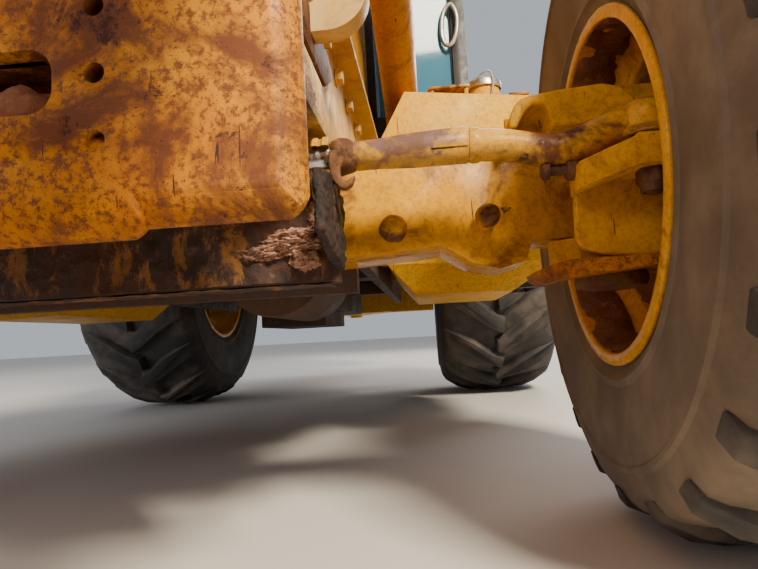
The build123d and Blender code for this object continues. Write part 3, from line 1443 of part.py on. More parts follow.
# Doors: a frame of flat bar round one pane, cut away at the rear over the fender
DOOR_BOTTOM = CAB_FLOOR + RUNNING_GAP
DOOR_TOP = GLASS_TOP - RUNNING_GAP
DOOR_THICKNESS = 34
DOOR_FRAME = 45
DOOR_ARC_GAP = 16
door_arc = [fender_point(angle, FENDER_RADIUS + DOOR_ARC_GAP) for angle in BODY_ARC]
door_outline = [
    (DOOR_FRONT + RUNNING_GAP, DOOR_BOTTOM),
    (door_arc[0][0] - DOOR_ARC_GAP, DOOR_BOTTOM),
    *door_arc,
    (DOOR_REAR, door_arc[-1][1]),
    (DOOR_REAR, DOOR_TOP),
    (DOOR_FRONT + RUNNING_GAP, DOOR_TOP),
]
for side, name in ((1, "left"), (-1, "right")):
    plane_x = side * SIDE_POST_X
    with BuildPart() as door:
        with BuildSketch(Plane.YZ.offset(plane_x - DOOR_THICKNESS / 2)) as door_face:
            Polygon(*door_outline)
            offset(amount=-DOOR_FRAME, mode=Mode.SUBTRACT)
        extrude(door_face.sketch, amount=DOOR_THICKNESS)
        hinge_x = side * DOOR_HINGE_X
        for low in DOOR_HINGE_HEIGHTS:
            high = low + DOOR_HINGE_LENGTH
            bar((hinge_x, DOOR_HINGE_Y, low), (hinge_x, DOOR_HINGE_Y, high), DOOR_HINGE_BARREL)
        for low in DOOR_HINGE_HEIGHTS:
            bar(
                (hinge_x, DOOR_HINGE_Y, low - 30),
                (hinge_x, DOOR_HINGE_Y, low + DOOR_HINGE_LENGTH + 30),
                DOOR_HINGE_PIN + PIN_CLEARANCE,
                Mode.SUBTRACT,
            )
    door.part.label = "door_" + name
    export_step(door.part, "parts/door_" + name + ".step")
    with BuildPart() as pane:
        with BuildSketch(Plane.YZ.offset(plane_x - GLASS_THICKNESS / 2)) as pane_face:
            Polygon(*door_outline)
            offset(amount=-DOOR_FRAME, mode=Mode.REPLACE)
        extrude(pane_face.sketch, amount=GLASS_THICKNESS)
    pane.part.label = "door_glass_" + name
    export_step(pane.part, "parts/door_glass_" + name + ".step")

# Operator's seat, console and steering wheel
SEAT_Y = REAR_AXLE_Y - 280
with BuildPart() as seat_cushion:
    block(-250, 250, SEAT_Y - 240, SEAT_Y + 230, CAB_FLOOR + 330.3, CAB_FLOOR + 450)
    fillet(seat_cushion.edges().filter_by(Axis.Z), radius=50)
seat_cushion.part.label = "seat_cushion"
export_step(seat_cushion.part, "parts/seat_cushion.step")
with BuildPart() as seat_back:
    side_slab(
        [
            (SEAT_Y + 100, CAB_FLOOR + 450.6),
            (SEAT_Y + 215, CAB_FLOOR + 450.6),
            (SEAT_Y + 300, CAB_FLOOR + 980),
            (SEAT_Y + 200, CAB_FLOOR + 980),
        ],
        -230,
        230,
    )
    fillet(seat_back.edges().filter_by(Axis.Y, reverse=True).filter_by(Axis.X, reverse=True), radius=30)
seat_back.part.label = "seat_back"
export_step(seat_back.part, "parts/seat_back.step")
CONSOLE_Y = CAB_FRONT + 110
WHEEL_PLACE = (CONSOLE_Y + 230, CAB_FLOOR + 700)
with BuildPart() as console:
    side_slab(
        [
            (CONSOLE_Y - 50, CAB_FLOOR),
            (CONSOLE_Y + 120, CAB_FLOOR),
            (CONSOLE_Y + 190, CAB_FLOOR + 560),
            (CONSOLE_Y - 30, CAB_FLOOR + 640),
        ],
        -160,
        160,
    )
    block(-170, 170, SEAT_Y - 170, SEAT_Y + 170, CAB_FLOOR, CAB_FLOOR + 330)
    bar((0, CONSOLE_Y + 120, CAB_FLOOR + 560), (0, *WHEEL_PLACE), 28)
    with Locations(Plane(origin=(0, *WHEEL_PLACE), z_dir=(0, 110, 140))):
        Torus(180, 15)
        Cylinder(40, 26)
        Box(350, 30, 14)
        Box(30, 350, 14)
console.part.label = "console"
export_step(console.part, "parts/console.step")

# Exhaust stack on the frame's flange, between the hood and the right arm
STACK_RADIUS = 30
STACK_WALL = 3
STACK_TOP = 2250
STACK_X = -(HOOD_HALF_WIDTH + FLANGE_EDGE + RUNNING_GAP) / 2 - 3
STACK_Y = ahead(-640)
with BuildPart() as exhaust:
    bar((STACK_X, STACK_Y, SILL_TOP + FLANGE_THICKNESS), (STACK_X, STACK_Y, STACK_TOP), STACK_RADIUS)
    bar(
        (STACK_X, STACK_Y, SILL_TOP + 200),
        (STACK_X, STACK_Y, STACK_TOP + 1),
        STACK_RADIUS - STACK_WALL,
        Mode.SUBTRACT,
    )
exhaust.part.label = "exhaust"
export_step(exhaust.part, "parts/exhaust.step")

# Backhoe frame: the box behind the cab that carries the swing post and the stabilizers
BOX_FRONT = RAIL_REAR
BOX_REAR = STABILIZER_Y + STABILIZER_WIDTH / 2 + 25
SWING_PLATE = 40
SWING_EYE_RADIUS = 95
BOX_HALF_WIDTH = 250
BOX_TOP = SWING_TOP + 30
BOX_SIDE_PLATE = 20
with BuildPart() as backhoe_frame:
    block(-FRAME_HALF_WIDTH, FRAME_HALF_WIDTH, BOX_FRONT, BOX_FRONT + BOX_SIDE_PLATE, SWING_BOTTOM, BOX_TOP)
    # Two walls across, with the stabilizers' housings between them
    for y_from, y_to in (
        (STABILIZER_Y - STABILIZER_WIDTH / 2 - 25, STABILIZER_Y - STABILIZER_WIDTH / 2 - RUNNING_GAP),
        (STABILIZER_Y + STABILIZER_WIDTH / 2 + RUNNING_GAP, BOX_REAR),
    ):
        wall = [
            (-530, SWING_BOTTOM),
            (530, SWING_BOTTOM),
            (530, 640),
            (400, 1000),
            (400, 1400),
            (270, 1400),
            (BOX_HALF_WIDTH, BOX_TOP),
            (-BOX_HALF_WIDTH, BOX_TOP),
            (-270, 1400),
            (-400, 1400),
            (-400, 1000),
            (-530, 640),
        ]
        front_slab(wall, y_from, y_to)
    for low in (SWING_BOTTOM, SWING_TOP - SWING_PLATE):
        block(-BOX_HALF_WIDTH, BOX_HALF_WIDTH, BOX_FRONT, BOX_REAR, low, low + SWING_PLATE)
    for side in SIDES:
        inner = side * (BOX_HALF_WIDTH - BOX_SIDE_PLATE)
        outer = side * BOX_HALF_WIDTH
        block(min(inner, outer), max(inner, outer), BOX_FRONT, BOX_REAR, SWING_BOTTOM, BOX_TOP)
        cross_y = STABILIZER_Y - STABILIZER_WIDTH / 2 - 25
        for place in (STABILIZER_PIVOT, STABILIZER_RAM_BASE):
            fore_bar((side * place[0], place[1]), STABILIZER_PIN, cross_y, BOX_REAR)
    # Plates that reach back to the swing pin
    for low in (SWING_BOTTOM, SWING_TOP - SWING_PLATE):
        plan_slab(
            [
                (-BOX_HALF_WIDTH, BOX_REAR - 1),
                (BOX_HALF_WIDTH, BOX_REAR - 1),
                (SWING_EYE_RADIUS, SWING_Y),
                (-SWING_EYE_RADIUS, SWING_Y),
            ],
            low,
            low + SWING_PLATE,
        )
        bar((0, SWING_Y, low), (0, SWING_Y, low + SWING_PLATE), SWING_EYE_RADIUS)
    bar(
        (0, SWING_Y, SWING_BOTTOM - 1),
        (0, SWING_Y, SWING_TOP + 1),
        SWING_PIN_RADIUS + PIN_CLEARANCE,
        Mode.SUBTRACT,
    )
backhoe_frame.part.label = "backhoe_frame"
export_step(backhoe_frame.part, "parts/backhoe_frame.step")

# Swing post: turns on the vertical pin and carries the boom's foot and the boom ram's base
POST_GAP = 6
BOOM_EAR = 26
RAM_EAR = 25
with BuildPart() as swing_post:
    post_low = SWING_BOTTOM + SWING_PLATE + POST_GAP
    post_high = SWING_TOP - SWING_PLATE - POST_GAP
    bar((0, SWING_Y, post_low), (0, SWING_Y, post_high), 90)
    bar((0, SWING_Y, SWING_BOTTOM - 15), (0, SWING_Y, SWING_TOP + 15), SWING_PIN_RADIUS)
    ear_inner = BOOM_HALF_WIDTH + RUNNING_GAP
    ear_outer = ear_inner + BOOM_EAR
    block(-ear_outer, ear_outer, SWING_Y, SWING_Y + 85, post_low, post_high)
    for side in SIDES:
        low = min(side * ear_inner, side * ear_outer)
        high = max(side * ear_inner, side * ear_outer)
        side_slab(
            [
                (SWING_Y, post_low),
                (BOOM_FOOT[0], BOOM_FOOT[1] - 75),
                (BOOM_FOOT[0] + 70, BOOM_FOOT[1] + 25),
                (BOOM_RAM_BASE[0] + 40, post_high),
                (SWING_Y, post_high),
            ],
            low,
            high,
        )
        cross_bar(BOOM_FOOT, 75, low, high)
        # Ears for the boom ram's base
        inner = side * (BOOM_RAM.width / 2 + RUNNING_GAP)
        outer = side * ear_outer
        side_slab(
            [
                (SWING_Y + 84, post_low + 250),
                (BOOM_RAM_BASE[0] + 20, BOOM_RAM_BASE[1] - 60),
                (BOOM_RAM_BASE[0] + 48, BOOM_RAM_BASE[1]),
                (BOOM_RAM_BASE[0], BOOM_RAM_BASE[1] + 48),
                (SWING_Y + 84, post_high),
            ],
            min(inner, outer),
            max(inner, outer),
        )
    cross_bar(BOOM_FOOT, PIVOT_PIN_RADIUS, -ear_outer, ear_outer)
    cross_bar(BOOM_RAM_BASE, BOOM_RAM.pin, -ear_outer, ear_outer)
swing_post.part.label = "swing_post"
export_step(swing_post.part, "parts/swing_post.step")

# Boom: a deep box that tapers to a tongue at the dipper's pin
BOOM_EYE = 70
BOOM_TONGUE_LENGTH = 440
with BuildPart() as boom:
    side_slab(
        [
            boom_point(0, BOOM_EYE - 5),
            boom_point(300, BOOM_HALF_DEPTH),
            boom_point(1700, BOOM_HALF_DEPTH),
            boom_point(BOOM_LENGTH - BOOM_TONGUE_LENGTH, BOOM_HALF_DEPTH - 25),
            boom_point(BOOM_LENGTH - BOOM_TONGUE_LENGTH, -BOOM_HALF_DEPTH + 25),
            boom_point(1700, -BOOM_HALF_DEPTH),
            boom_point(300, -BOOM_HALF_DEPTH),
            boom_point(0, -BOOM_EYE + 5),
        ],
        -BOOM_HALF_WIDTH,
        BOOM_HALF_WIDTH,
    )
    cross_bar(BOOM_FOOT, BOOM_EYE, -BOOM_HALF_WIDTH, BOOM_HALF_WIDTH)
    side_slab(
        [
            boom_point(BOOM_LENGTH - BOOM_TONGUE_LENGTH - 1, BOOM_HALF_DEPTH - 25),
            boom_point(BOOM_LENGTH, BOOM_EYE - 10),
            boom_point(BOOM_LENGTH, -BOOM_EYE + 10),
            boom_point(BOOM_LENGTH - BOOM_TONGUE_LENGTH - 1, -BOOM_HALF_DEPTH + 25),
        ],
        -BOOM_TONGUE_HALF_WIDTH,
        BOOM_TONGUE_HALF_WIDTH,
    )
    cross_bar(BOOM_TOP, BOOM_EYE - 10, -BOOM_TONGUE_HALF_WIDTH, BOOM_TONGUE_HALF_WIDTH)
    # Ears on the cab side for the boom ram's rod and the dipper ram's base
    for ram, place, distance in (
        (BOOM_RAM, BOOM_RAM_TIP, 1150),
        (DIPPER_RAM, DIPPER_RAM_BASE, 1290),
    ):
        for side in SIDES:
            inner = side * (ram.width / 2 + RUNNING_GAP)
            outer = inner + side * RAM_EAR
            low = min(inner, outer)
            high = max(inner, outer)
            cross_bar(place, ram.eye, low, high)
            side_slab(
                [
                    boom_point(distance - 50, BOOM_HALF_DEPTH - 1),
                    boom_point(distance + 50, BOOM_HALF_DEPTH - 1),
                    boom_point(distance + ram.eye, BOOM_RAM_OFFSET),
                    boom_point(distance - ram.eye, BOOM_RAM_OFFSET),
                ],
                low,
                high,
            )
    ear_reach = DIPPER_RAM.width / 2 + RUNNING_GAP + RAM_EAR
    cross_bar(DIPPER_RAM_BASE, DIPPER_RAM.pin, -ear_reach, ear_reach)
    cross_bar(
        BOOM_FOOT,
        PIVOT_PIN_RADIUS + PIN_CLEARANCE,
        -BOOM_HALF_WIDTH - 1,
        BOOM_HALF_WIDTH + 1,
        Mode.SUBTRACT,
    )
    cross_bar(
        BOOM_TOP,
        PIVOT_PIN_RADIUS + PIN_CLEARANCE,
        -BOOM_TONGUE_HALF_WIDTH - 1,
        BOOM_TONGUE_HALF_WIDTH + 1,
        Mode.SUBTRACT,
    )
boom.part.label = "boom"
export_step(boom.part, "parts/boom.step")

# Dipper: a box with a fork round the boom's tongue and a lever beyond it for its ram
DIPPER_HALF_DEPTH = 80
DIPPER_FORK_INNER = BOOM_TONGUE_HALF_WIDTH + RUNNING_GAP
DIPPER_TONGUE_HALF_WIDTH = 55
DIPPER_BODY_START = 400
HOE_ARM_END = DIPPER_LENGTH - 382
with BuildPart() as dipper:
    side_slab(
        [
            dipper_point(DIPPER_BODY_START, -DIPPER_HALF_DEPTH),
            dipper_point(HOE_ARM_END, -55),
            dipper_point(HOE_ARM_END, 60),
            dipper_point(DIPPER_BODY_START, DIPPER_HALF_DEPTH + 15),
        ],
        -DIPPER_HALF_WIDTH,
        DIPPER_HALF_WIDTH,
    )
    side_slab(
        [
            dipper_point(HOE_ARM_END - 1, -55),
            dipper_point(DIPPER_LENGTH, -45),
            dipper_point(DIPPER_LENGTH, 45),
            dipper_point(HOE_ARM_END - 1, 60),
        ],
        -DIPPER_TONGUE_HALF_WIDTH,
        DIPPER_TONGUE_HALF_WIDTH,
    )
    cross_bar(HOE_PIN, 50, -DIPPER_TONGUE_HALF_WIDTH, DIPPER_TONGUE_HALF_WIDTH)
    for side in SIDES:
        low = min(side * DIPPER_FORK_INNER, side * DIPPER_HALF_WIDTH)
        high = max(side * DIPPER_FORK_INNER, side * DIPPER_HALF_WIDTH)
        side_slab(
            [
                dipper_point(-DIPPER_LEVER, -48),
                dipper_point(0, -95),
                dipper_point(DIPPER_BODY_START + 1, -DIPPER_HALF_DEPTH),
                dipper_point(DIPPER_BODY_START + 1, DIPPER_HALF_DEPTH + 15),
                dipper_point(0, 95),
                dipper_point(-DIPPER_LEVER, 48),
            ],
            low,
            high,
        )
        cross_bar(DIPPER_RAM_TIP, 48, low, high)
        # Ears for the bucket ram's base
        inner = side * (HOE_RAM.width / 2 + RUNNING_GAP)
        outer = inner + side * RAM_EAR
        low = min(inner, outer)
        high = max(inner, outer)
        cross_bar(HOE_RAM_BASE, HOE_RAM.eye, low, high)
        side_slab(
            [
                dipper_point(410, 70),
                dipper_point(505, 70),
                dipper_point(460 + HOE_RAM.eye, 150),
                dipper_point(460 - HOE_RAM.eye, 150),
            ],
            low,
            high,
        )
    cross_bar(BOOM_TOP, PIVOT_PIN_RADIUS, -DIPPER_HALF_WIDTH, DIPPER_HALF_WIDTH)
    ear_reach = HOE_RAM.width / 2 + RUNNING_GAP + RAM_EAR
    cross_bar(HOE_RAM_BASE, HOE_RAM.pin, -ear_reach, ear_reach)
    for place in (HOE_PIN, ROCKER_PIVOT):
        cross_bar(
            place,
            HOE_PIN_RADIUS + PIN_CLEARANCE,
            -DIPPER_TONGUE_HALF_WIDTH - 1,
            DIPPER_TONGUE_HALF_WIDTH + 1,
            Mode.SUBTRACT,
        )
dipper.part.label = "dipper"
export_step(dipper.part, "parts/dipper.step")


def bucket_place(along_dipper, aside):
    """A point of the backhoe bucket, measured from its pin in the dipper's directions."""
    return dipper_point(DIPPER_LENGTH + along_dipper, aside)


# Backhoe bucket: a curved shell with side plates, ears round the dipper's end and five teeth
HOE_WALL = 14
HOE_EAR = 22
TEETH = 5
TOOTH_INSET = 45
TOOTH_HALF_WIDTH = 26
HOE_EAR_INNER = DIPPER_TONGUE_HALF_WIDTH + RUNNING_GAP
with BuildPart() as hoe_bucket:
    half = HOE_BUCKET_WIDTH / 2
    outside = [(345, -677), (600, -520), (715, -260), (650, 10), (450, 165), (190, 200)]
    inside = [(192, 186), (445, 150), (637, 2), (700, -258), (590, -508), (352, -664)]
    side_slab([bucket_place(*point) for point in outside + inside], -half, half)
    cheek = [(345, -677), (600, -520), (715, -260), (650, 10), (450, 165), (190, 200), (150, -40)]
    for x_from, x_to in ((-half, -half + HOE_WALL), (half - HOE_WALL, half)):
        side_slab([bucket_place(*point) for point in cheek], x_from, x_to)
    for side in SIDES:
        low = min(side * HOE_EAR_INNER, side * (HOE_EAR_INNER + HOE_EAR))
        high = max(side * HOE_EAR_INNER, side * (HOE_EAR_INNER + HOE_EAR))
        ear = [(-10, -55), (200, 60), (300, 192), (195, 199), (120, 240), (60, 200), (-50, 20)]
        side_slab([bucket_place(*point) for point in ear], low, high)
        cross_bar(HOE_PIN, 52, low, high)
        cross_bar(HOE_LINK_PIN, 46, low, high)
    ear_reach = HOE_EAR_INNER + HOE_EAR
    cross_bar(HOE_PIN, HOE_PIN_RADIUS, -ear_reach, ear_reach)
    for tooth in range(TEETH):
        tooth_x = -half + TOOTH_INSET + tooth * (HOE_BUCKET_WIDTH - 2 * TOOTH_INSET) / (TEETH - 1)
        side_slab(
            [bucket_place(*point) for point in ((420, -640), (250, -735), (400, -612))],
            tooth_x - TOOTH_HALF_WIDTH,
            tooth_x + TOOTH_HALF_WIDTH,
        )
hoe_bucket.part.label = "hoe_bucket"
export_step(hoe_bucket.part, "parts/hoe_bucket.step")

# Rocker plates each side of the dipper's end, and the link from them to the bucket
ROCKER_PLATE = 18
ROCKER_INNER = DIPPER_TONGUE_HALF_WIDTH + RUNNING_GAP
with BuildPart() as rocker:
    for side in SIDES:
        low = min(side * ROCKER_INNER, side * (ROCKER_INNER + ROCKER_PLATE))
        high = max(side * ROCKER_INNER, side * (ROCKER_INNER + ROCKER_PLATE))
        side_slab(
            [
                dipper_point(DIPPER_LENGTH - 290, -8),
                dipper_point(DIPPER_LENGTH - 210, -20),
                dipper_point(DIPPER_LENGTH - 100, 270),
                dipper_point(DIPPER_LENGTH - 178, 292),
            ],
            low,
            high,
        )
        cross_bar(ROCKER_PIVOT, 42, low, high)
        cross_bar(ROCKER_TIP, 42, low, high)
    rocker_reach = ROCKER_INNER + ROCKER_PLATE
    cross_bar(ROCKER_PIVOT, HOE_PIN_RADIUS, -rocker_reach, rocker_reach)
rocker.part.label = "rocker"
export_step(rocker.part, "parts/rocker.step")

LINK_OUTER = ROCKER_INNER - RUNNING_GAP / 2
LINK_INNER = HOE_RAM.width / 2 + RUNNING_GAP
with BuildPart() as bucket_link:
    for side in SIDES:
        low = min(side * LINK_INNER, side * LINK_OUTER)
        high = max(side * LINK_INNER, side * LINK_OUTER)
        side_slab(
            [
                dipper_point(DIPPER_LENGTH - 145, 245),
                dipper_point(DIPPER_LENGTH + 108, 152),
                dipper_point(DIPPER_LENGTH + 132, 218),
                dipper_point(DIPPER_LENGTH - 130, 315),
            ],
            low,
            high,
        )
        cross_bar(ROCKER_TIP, 38, low, high)
        cross_bar(HOE_LINK_PIN, 36, low, high)
    cross_bar(HOE_LINK_PIN, 20, -LINK_OUTER, LINK_OUTER)
bucket_link.part.label = "bucket_link"
export_step(bucket_link.part, "parts/bucket_link.step")

# Rams of the boom, the dipper and the backhoe bucket
for ram, name in ((BOOM_RAM, "boom"), (DIPPER_RAM, "dipper"), (HOE_RAM, "hoe")):
    with BuildPart() as barrel:
        add_barrel(ram, 0)
    barrel.part.label = name + "_barrel"
    export_step(barrel.part, "parts/" + name + "_barrel.step")
    with BuildPart() as rod:
        add_rod(ram, 0)
    rod.part.label = name + "_rod"
    export_step(rod.part, "parts/" + name + "_rod.step")


# Stabilizers: legs folded up at the back, each with a ram and a pad
def leg_point(distance, aside):
    """A front-view point of the left leg: distance from its pivot, and aside upwards."""
    return turned(STABILIZER_PIVOT, STABILIZER_ANGLE, distance, aside)


LEG_RAM_PLACE = (240, 60)
PAD_TILT = 25
PAD_DROP = 100
PAD_HALF_LENGTH = 170
PAD_THICKNESS = 16
LEG_FRONT = STABILIZER_Y - STABILIZER_WIDTH / 2
LEG_BACK = STABILIZER_Y + STABILIZER_WIDTH / 2
leg_ram_tip = leg_point(*LEG_RAM_PLACE)
EYE_FRONT = STABILIZER_Y - STABILIZER_EYE_WIDTH / 2
EYE_BACK = STABILIZER_Y + STABILIZER_EYE_WIDTH / 2
pad_start = (STABILIZER_LENGTH + PAD_DROP * sin(radians(PAD_TILT)), -PAD_DROP * cos(radians(PAD_TILT)))
with BuildPart() as stabilizer_left:
    front_slab(
        [
            leg_point(0, -55),
            leg_point(STABILIZER_LENGTH, -48),
            leg_point(STABILIZER_LENGTH, 15),
            leg_point(0, 50),
        ],
        LEG_FRONT,
        LEG_BACK,
    )
    fore_bar(STABILIZER_PIVOT, 56, LEG_FRONT, LEG_BACK)
    # Ears for the ram's rod
    for y_from, y_to in ((LEG_FRONT, EYE_FRONT - RUNNING_GAP), (EYE_BACK + RUNNING_GAP, LEG_BACK)):
        front_slab(
            [leg_point(170, 10), leg_point(310, 10), leg_point(278, 62), leg_point(202, 62)],
            y_from,
            y_to,
        )
        fore_bar(leg_ram_tip, STABILIZER_EYE, y_from, y_to)
    # Open slot between the ears, as wide as the rod's eye and its gaps
    front_slab(
        [leg_point(120, -20), leg_point(360, -20), leg_point(360, 110), leg_point(120, 110)],
        EYE_FRONT - RUNNING_GAP,
        EYE_BACK + RUNNING_GAP,
        Mode.SUBTRACT,
    )
    # Pad, level when the leg is down, and the web that carries it
    across = (PAD_HALF_LENGTH * cos(radians(PAD_TILT)), PAD_HALF_LENGTH * sin(radians(PAD_TILT)))
    down = (PAD_THICKNESS * sin(radians(PAD_TILT)), -PAD_THICKNESS * cos(radians(PAD_TILT)))
    front_slab(
        [
            leg_point(pad_start[0] - across[0], pad_start[1] - across[1]),
            leg_point(pad_start[0] + across[0], pad_start[1] + across[1]),
            leg_point(pad_start[0] + across[0] + down[0], pad_start[1] + across[1] + down[1]),
            leg_point(pad_start[0] - across[0] + down[0], pad_start[1] - across[1] + down[1]),
        ],
        STABILIZER_Y - 125,
        STABILIZER_Y + 125,
    )
    front_slab(
        [
            leg_point(STABILIZER_LENGTH - 90, -40),
            leg_point(STABILIZER_LENGTH, 10),
            leg_point(pad_start[0] + across[0] * 0.5, pad_start[1] + across[1] * 0.5),
            leg_point(pad_start[0] - across[0] * 0.5, pad_start[1] - across[1] * 0.5),
        ],
        STABILIZER_Y - 30,
        STABILIZER_Y + 30,
    )
    leg_bore = STABILIZER_PIN + PIN_CLEARANCE
    fore_bar(STABILIZER_PIVOT, leg_bore, LEG_FRONT - 1, LEG_BACK + 1, Mode.SUBTRACT)
stabilizer_left.part.label = "stabilizer_left"
export_step(stabilizer_left.part, "parts/stabilizer_left.step")

with BuildPart() as stabilizer_right:
    mirror(stabilizer_left.part, about=Plane.YZ)
stabilizer_right.part.label = "stabilizer_right"
export_step(stabilizer_right.part, "parts/stabilizer_right.step")


LEG_RAM_WALL = 7
LEG_ROD_START = 110
LEG_PISTON_END = 135
LEG_BORE = STABILIZER_BARREL_RADIUS - LEG_RAM_WALL


def leg_bar(start_distance, end_distance, radius, mode=Mode.ADD):
    """A round bar along the left stabilizer's ram, between two distances from its base pin."""
    start = along(STABILIZER_RAM_BASE, leg_ram_tip, start_distance)
    end = along(STABILIZER_RAM_BASE, leg_ram_tip, end_distance)
    bar((start[0], STABILIZER_Y, start[1]), (end[0], STABILIZER_Y, end[1]), radius, mode)


ram_length = hypot(
    leg_ram_tip[0] - STABILIZER_RAM_BASE[0], leg_ram_tip[1] - STABILIZER_RAM_BASE[1]
)
with BuildPart() as stabilizer_barrel_left:
    leg_bar(STABILIZER_EYE * 0.7, STABILIZER_RAM_REACH, STABILIZER_BARREL_RADIUS)
    fore_bar(STABILIZER_RAM_BASE, STABILIZER_EYE, EYE_FRONT, EYE_BACK)
    leg_bar(STABILIZER_EYE + 10, STABILIZER_RAM_REACH - RAM_GLAND, LEG_BORE, Mode.SUBTRACT)
    leg_bar(
        STABILIZER_RAM_REACH - RAM_GLAND - 1,
        STABILIZER_RAM_REACH + 1,
        STABILIZER_ROD_RADIUS + PIN_CLEARANCE,
        Mode.SUBTRACT,
    )
    fore_bar(
        STABILIZER_RAM_BASE,
        STABILIZER_PIN + PIN_CLEARANCE,
        EYE_FRONT - 30,
        EYE_BACK + 30,
        Mode.SUBTRACT,
    )
with BuildPart() as stabilizer_rod_left:
    leg_bar(LEG_ROD_START, ram_length - 15, STABILIZER_ROD_RADIUS)
    leg_bar(LEG_ROD_START, LEG_PISTON_END, LEG_BORE - PIN_CLEARANCE)
    fore_bar(leg_ram_tip, STABILIZER_EYE, EYE_FRONT, EYE_BACK)
for left_piece, name in (
    (stabilizer_barrel_left, "stabilizer_barrel"),
    (stabilizer_rod_left, "stabilizer_rod"),
):
    left_piece.part.label = name + "_left"
    export_step(left_piece.part, "parts/" + name + "_left.step")
    with BuildPart() as right_piece:
        mirror(left_piece.part, about=Plane.YZ)
    right_piece.part.label = name + "_right"
    export_step(right_piece.part, "parts/" + name + "_right.step")
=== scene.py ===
import json
import math
import bpy
from mathutils import Matrix, Vector
from mathutils.bvhtree import BVHTree


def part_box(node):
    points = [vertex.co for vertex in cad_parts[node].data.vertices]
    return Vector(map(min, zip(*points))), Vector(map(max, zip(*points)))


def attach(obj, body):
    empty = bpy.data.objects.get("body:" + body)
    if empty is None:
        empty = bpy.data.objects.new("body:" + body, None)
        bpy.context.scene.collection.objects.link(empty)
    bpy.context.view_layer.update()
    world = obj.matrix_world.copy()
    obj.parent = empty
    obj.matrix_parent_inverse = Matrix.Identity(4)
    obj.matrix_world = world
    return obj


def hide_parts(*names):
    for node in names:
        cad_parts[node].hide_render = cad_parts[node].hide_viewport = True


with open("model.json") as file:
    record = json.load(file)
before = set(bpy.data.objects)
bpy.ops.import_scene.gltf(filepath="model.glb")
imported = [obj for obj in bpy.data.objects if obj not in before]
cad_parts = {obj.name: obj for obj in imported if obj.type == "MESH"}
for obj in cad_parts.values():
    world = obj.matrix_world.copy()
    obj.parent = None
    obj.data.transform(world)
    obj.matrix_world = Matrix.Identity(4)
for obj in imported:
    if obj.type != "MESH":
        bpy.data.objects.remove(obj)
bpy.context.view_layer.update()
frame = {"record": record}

# Backhoe loader seen from the ground between its loader arms, close to the front axle.
# Metres. +Z is up, the front faces -Y and +X is the machine's left.


def middle(node):
    """The middle of a node's box."""
    low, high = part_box(node)
    return (Vector(low) + Vector(high)) / 2


FRONT_WHEEL = middle("tyre_front_left")
REAR_WHEEL = middle("tyre_rear_left")
FRONT_AXLE_Y = FRONT_WHEEL.y


def ahead(distance):
    """The y of a place this far ahead of the front axle."""
    return FRONT_AXLE_Y - distance


# Materials: each one is built from noise on Object coordinates

def new_material(name, roughness=0.5, metallic=0.0):
    """An empty material, its node tree, its shader and the Object coordinates."""
    material = bpy.data.materials.new(name)
    material.use_nodes = True
    tree = material.node_tree
    shader = tree.nodes["Principled BSDF"]
    shader.inputs["Roughness"].default_value = roughness
    shader.inputs["Metallic"].default_value = metallic
    coords = tree.nodes.new("ShaderNodeTexCoord").outputs["Object"]
    return material, tree, shader, coords


def stretched(tree, coords, scale, turn=(0, 0, 0)):
    """Coordinates scaled apart along the axes and turned."""
    mapping = tree.nodes.new("ShaderNodeMapping")
    mapping.inputs["Scale"].default_value = scale
    mapping.inputs["Rotation"].default_value = turn
    tree.links.new(coords, mapping.inputs["Vector"])
    return mapping.outputs["Vector"]


def noise(tree, coords, scale, detail=5.0, roughness=0.6, distortion=0.0):
    """A noise value."""
    node = tree.nodes.new("ShaderNodeTexNoise")
    node.inputs["Scale"].default_value = scale
    node.inputs["Detail"].default_value = detail
    node.inputs["Roughness"].default_value = roughness
    node.inputs["Distortion"].default_value = distortion
    tree.links.new(coords, node.inputs["Vector"])
    return node.outputs["Fac"]


def cells(tree, coords, scale):
    """A distance to the nearest cell."""
    node = tree.nodes.new("ShaderNodeTexVoronoi")
    node.inputs["Scale"].default_value = scale
    tree.links.new(coords, node.inputs["Vector"])
    return node.outputs["Distance"]


def between(tree, value, low, high, out_low=0.0, out_high=1.0):
    """A value mapped from one span to another and kept inside it."""
    node = tree.nodes.new("ShaderNodeMapRange")
    node.clamp = True
    node.interpolation_type = "SMOOTHSTEP"
    tree.links.new(value, node.inputs["Value"])
    node.inputs["From Min"].default_value = low
    node.inputs["From Max"].default_value = high
    node.inputs["To Min"].default_value = out_low
    node.inputs["To Max"].default_value = out_high
    return node.outputs["Result"]


def combine(tree, operation, first, second):
    """A math node on two values, each a socket or a number."""
    node = tree.nodes.new("ShaderNodeMath")
    node.operation = operation
    for socket, value in zip(node.inputs, (first, second)):
        if isinstance(value, (int, float)):
            socket.default_value = value
        else:
            tree.links.new(value, socket)
    return node.outputs["Value"]


def blend_colors(tree, factor, first, second):
    """A mix of two colours, each a socket or a colour."""
    node = tree.nodes.new("ShaderNodeMix")
    node.data_type = "RGBA"
    node.clamp_factor = True
    tree.links.new(factor, node.inputs["Factor"])
    for socket, value in ((node.inputs["A"], first), (node.inputs["B"], second)):
        if isinstance(value, tuple):
            socket.default_value = (*value, 1.0)
        else:
            tree.links.new(value, socket)
    return node.outputs["Result"]


def height_of(tree, coords):
    """The height above the ground."""
    node = tree.nodes.new("ShaderNodeSeparateXYZ")
    tree.links.new(coords, node.inputs["Vector"])
    return node.outputs["Z"]


def add_bump(tree, shader, height, strength, distance):
    """Relief from a height value."""
    node = tree.nodes.new("ShaderNodeBump")
    node.inputs["Strength"].default_value = strength
    node.inputs["Distance"].default_value = distance
    tree.links.new(height, node.inputs["Height"])
    tree.links.new(node.outputs["Normal"], shader.inputs["Normal"])


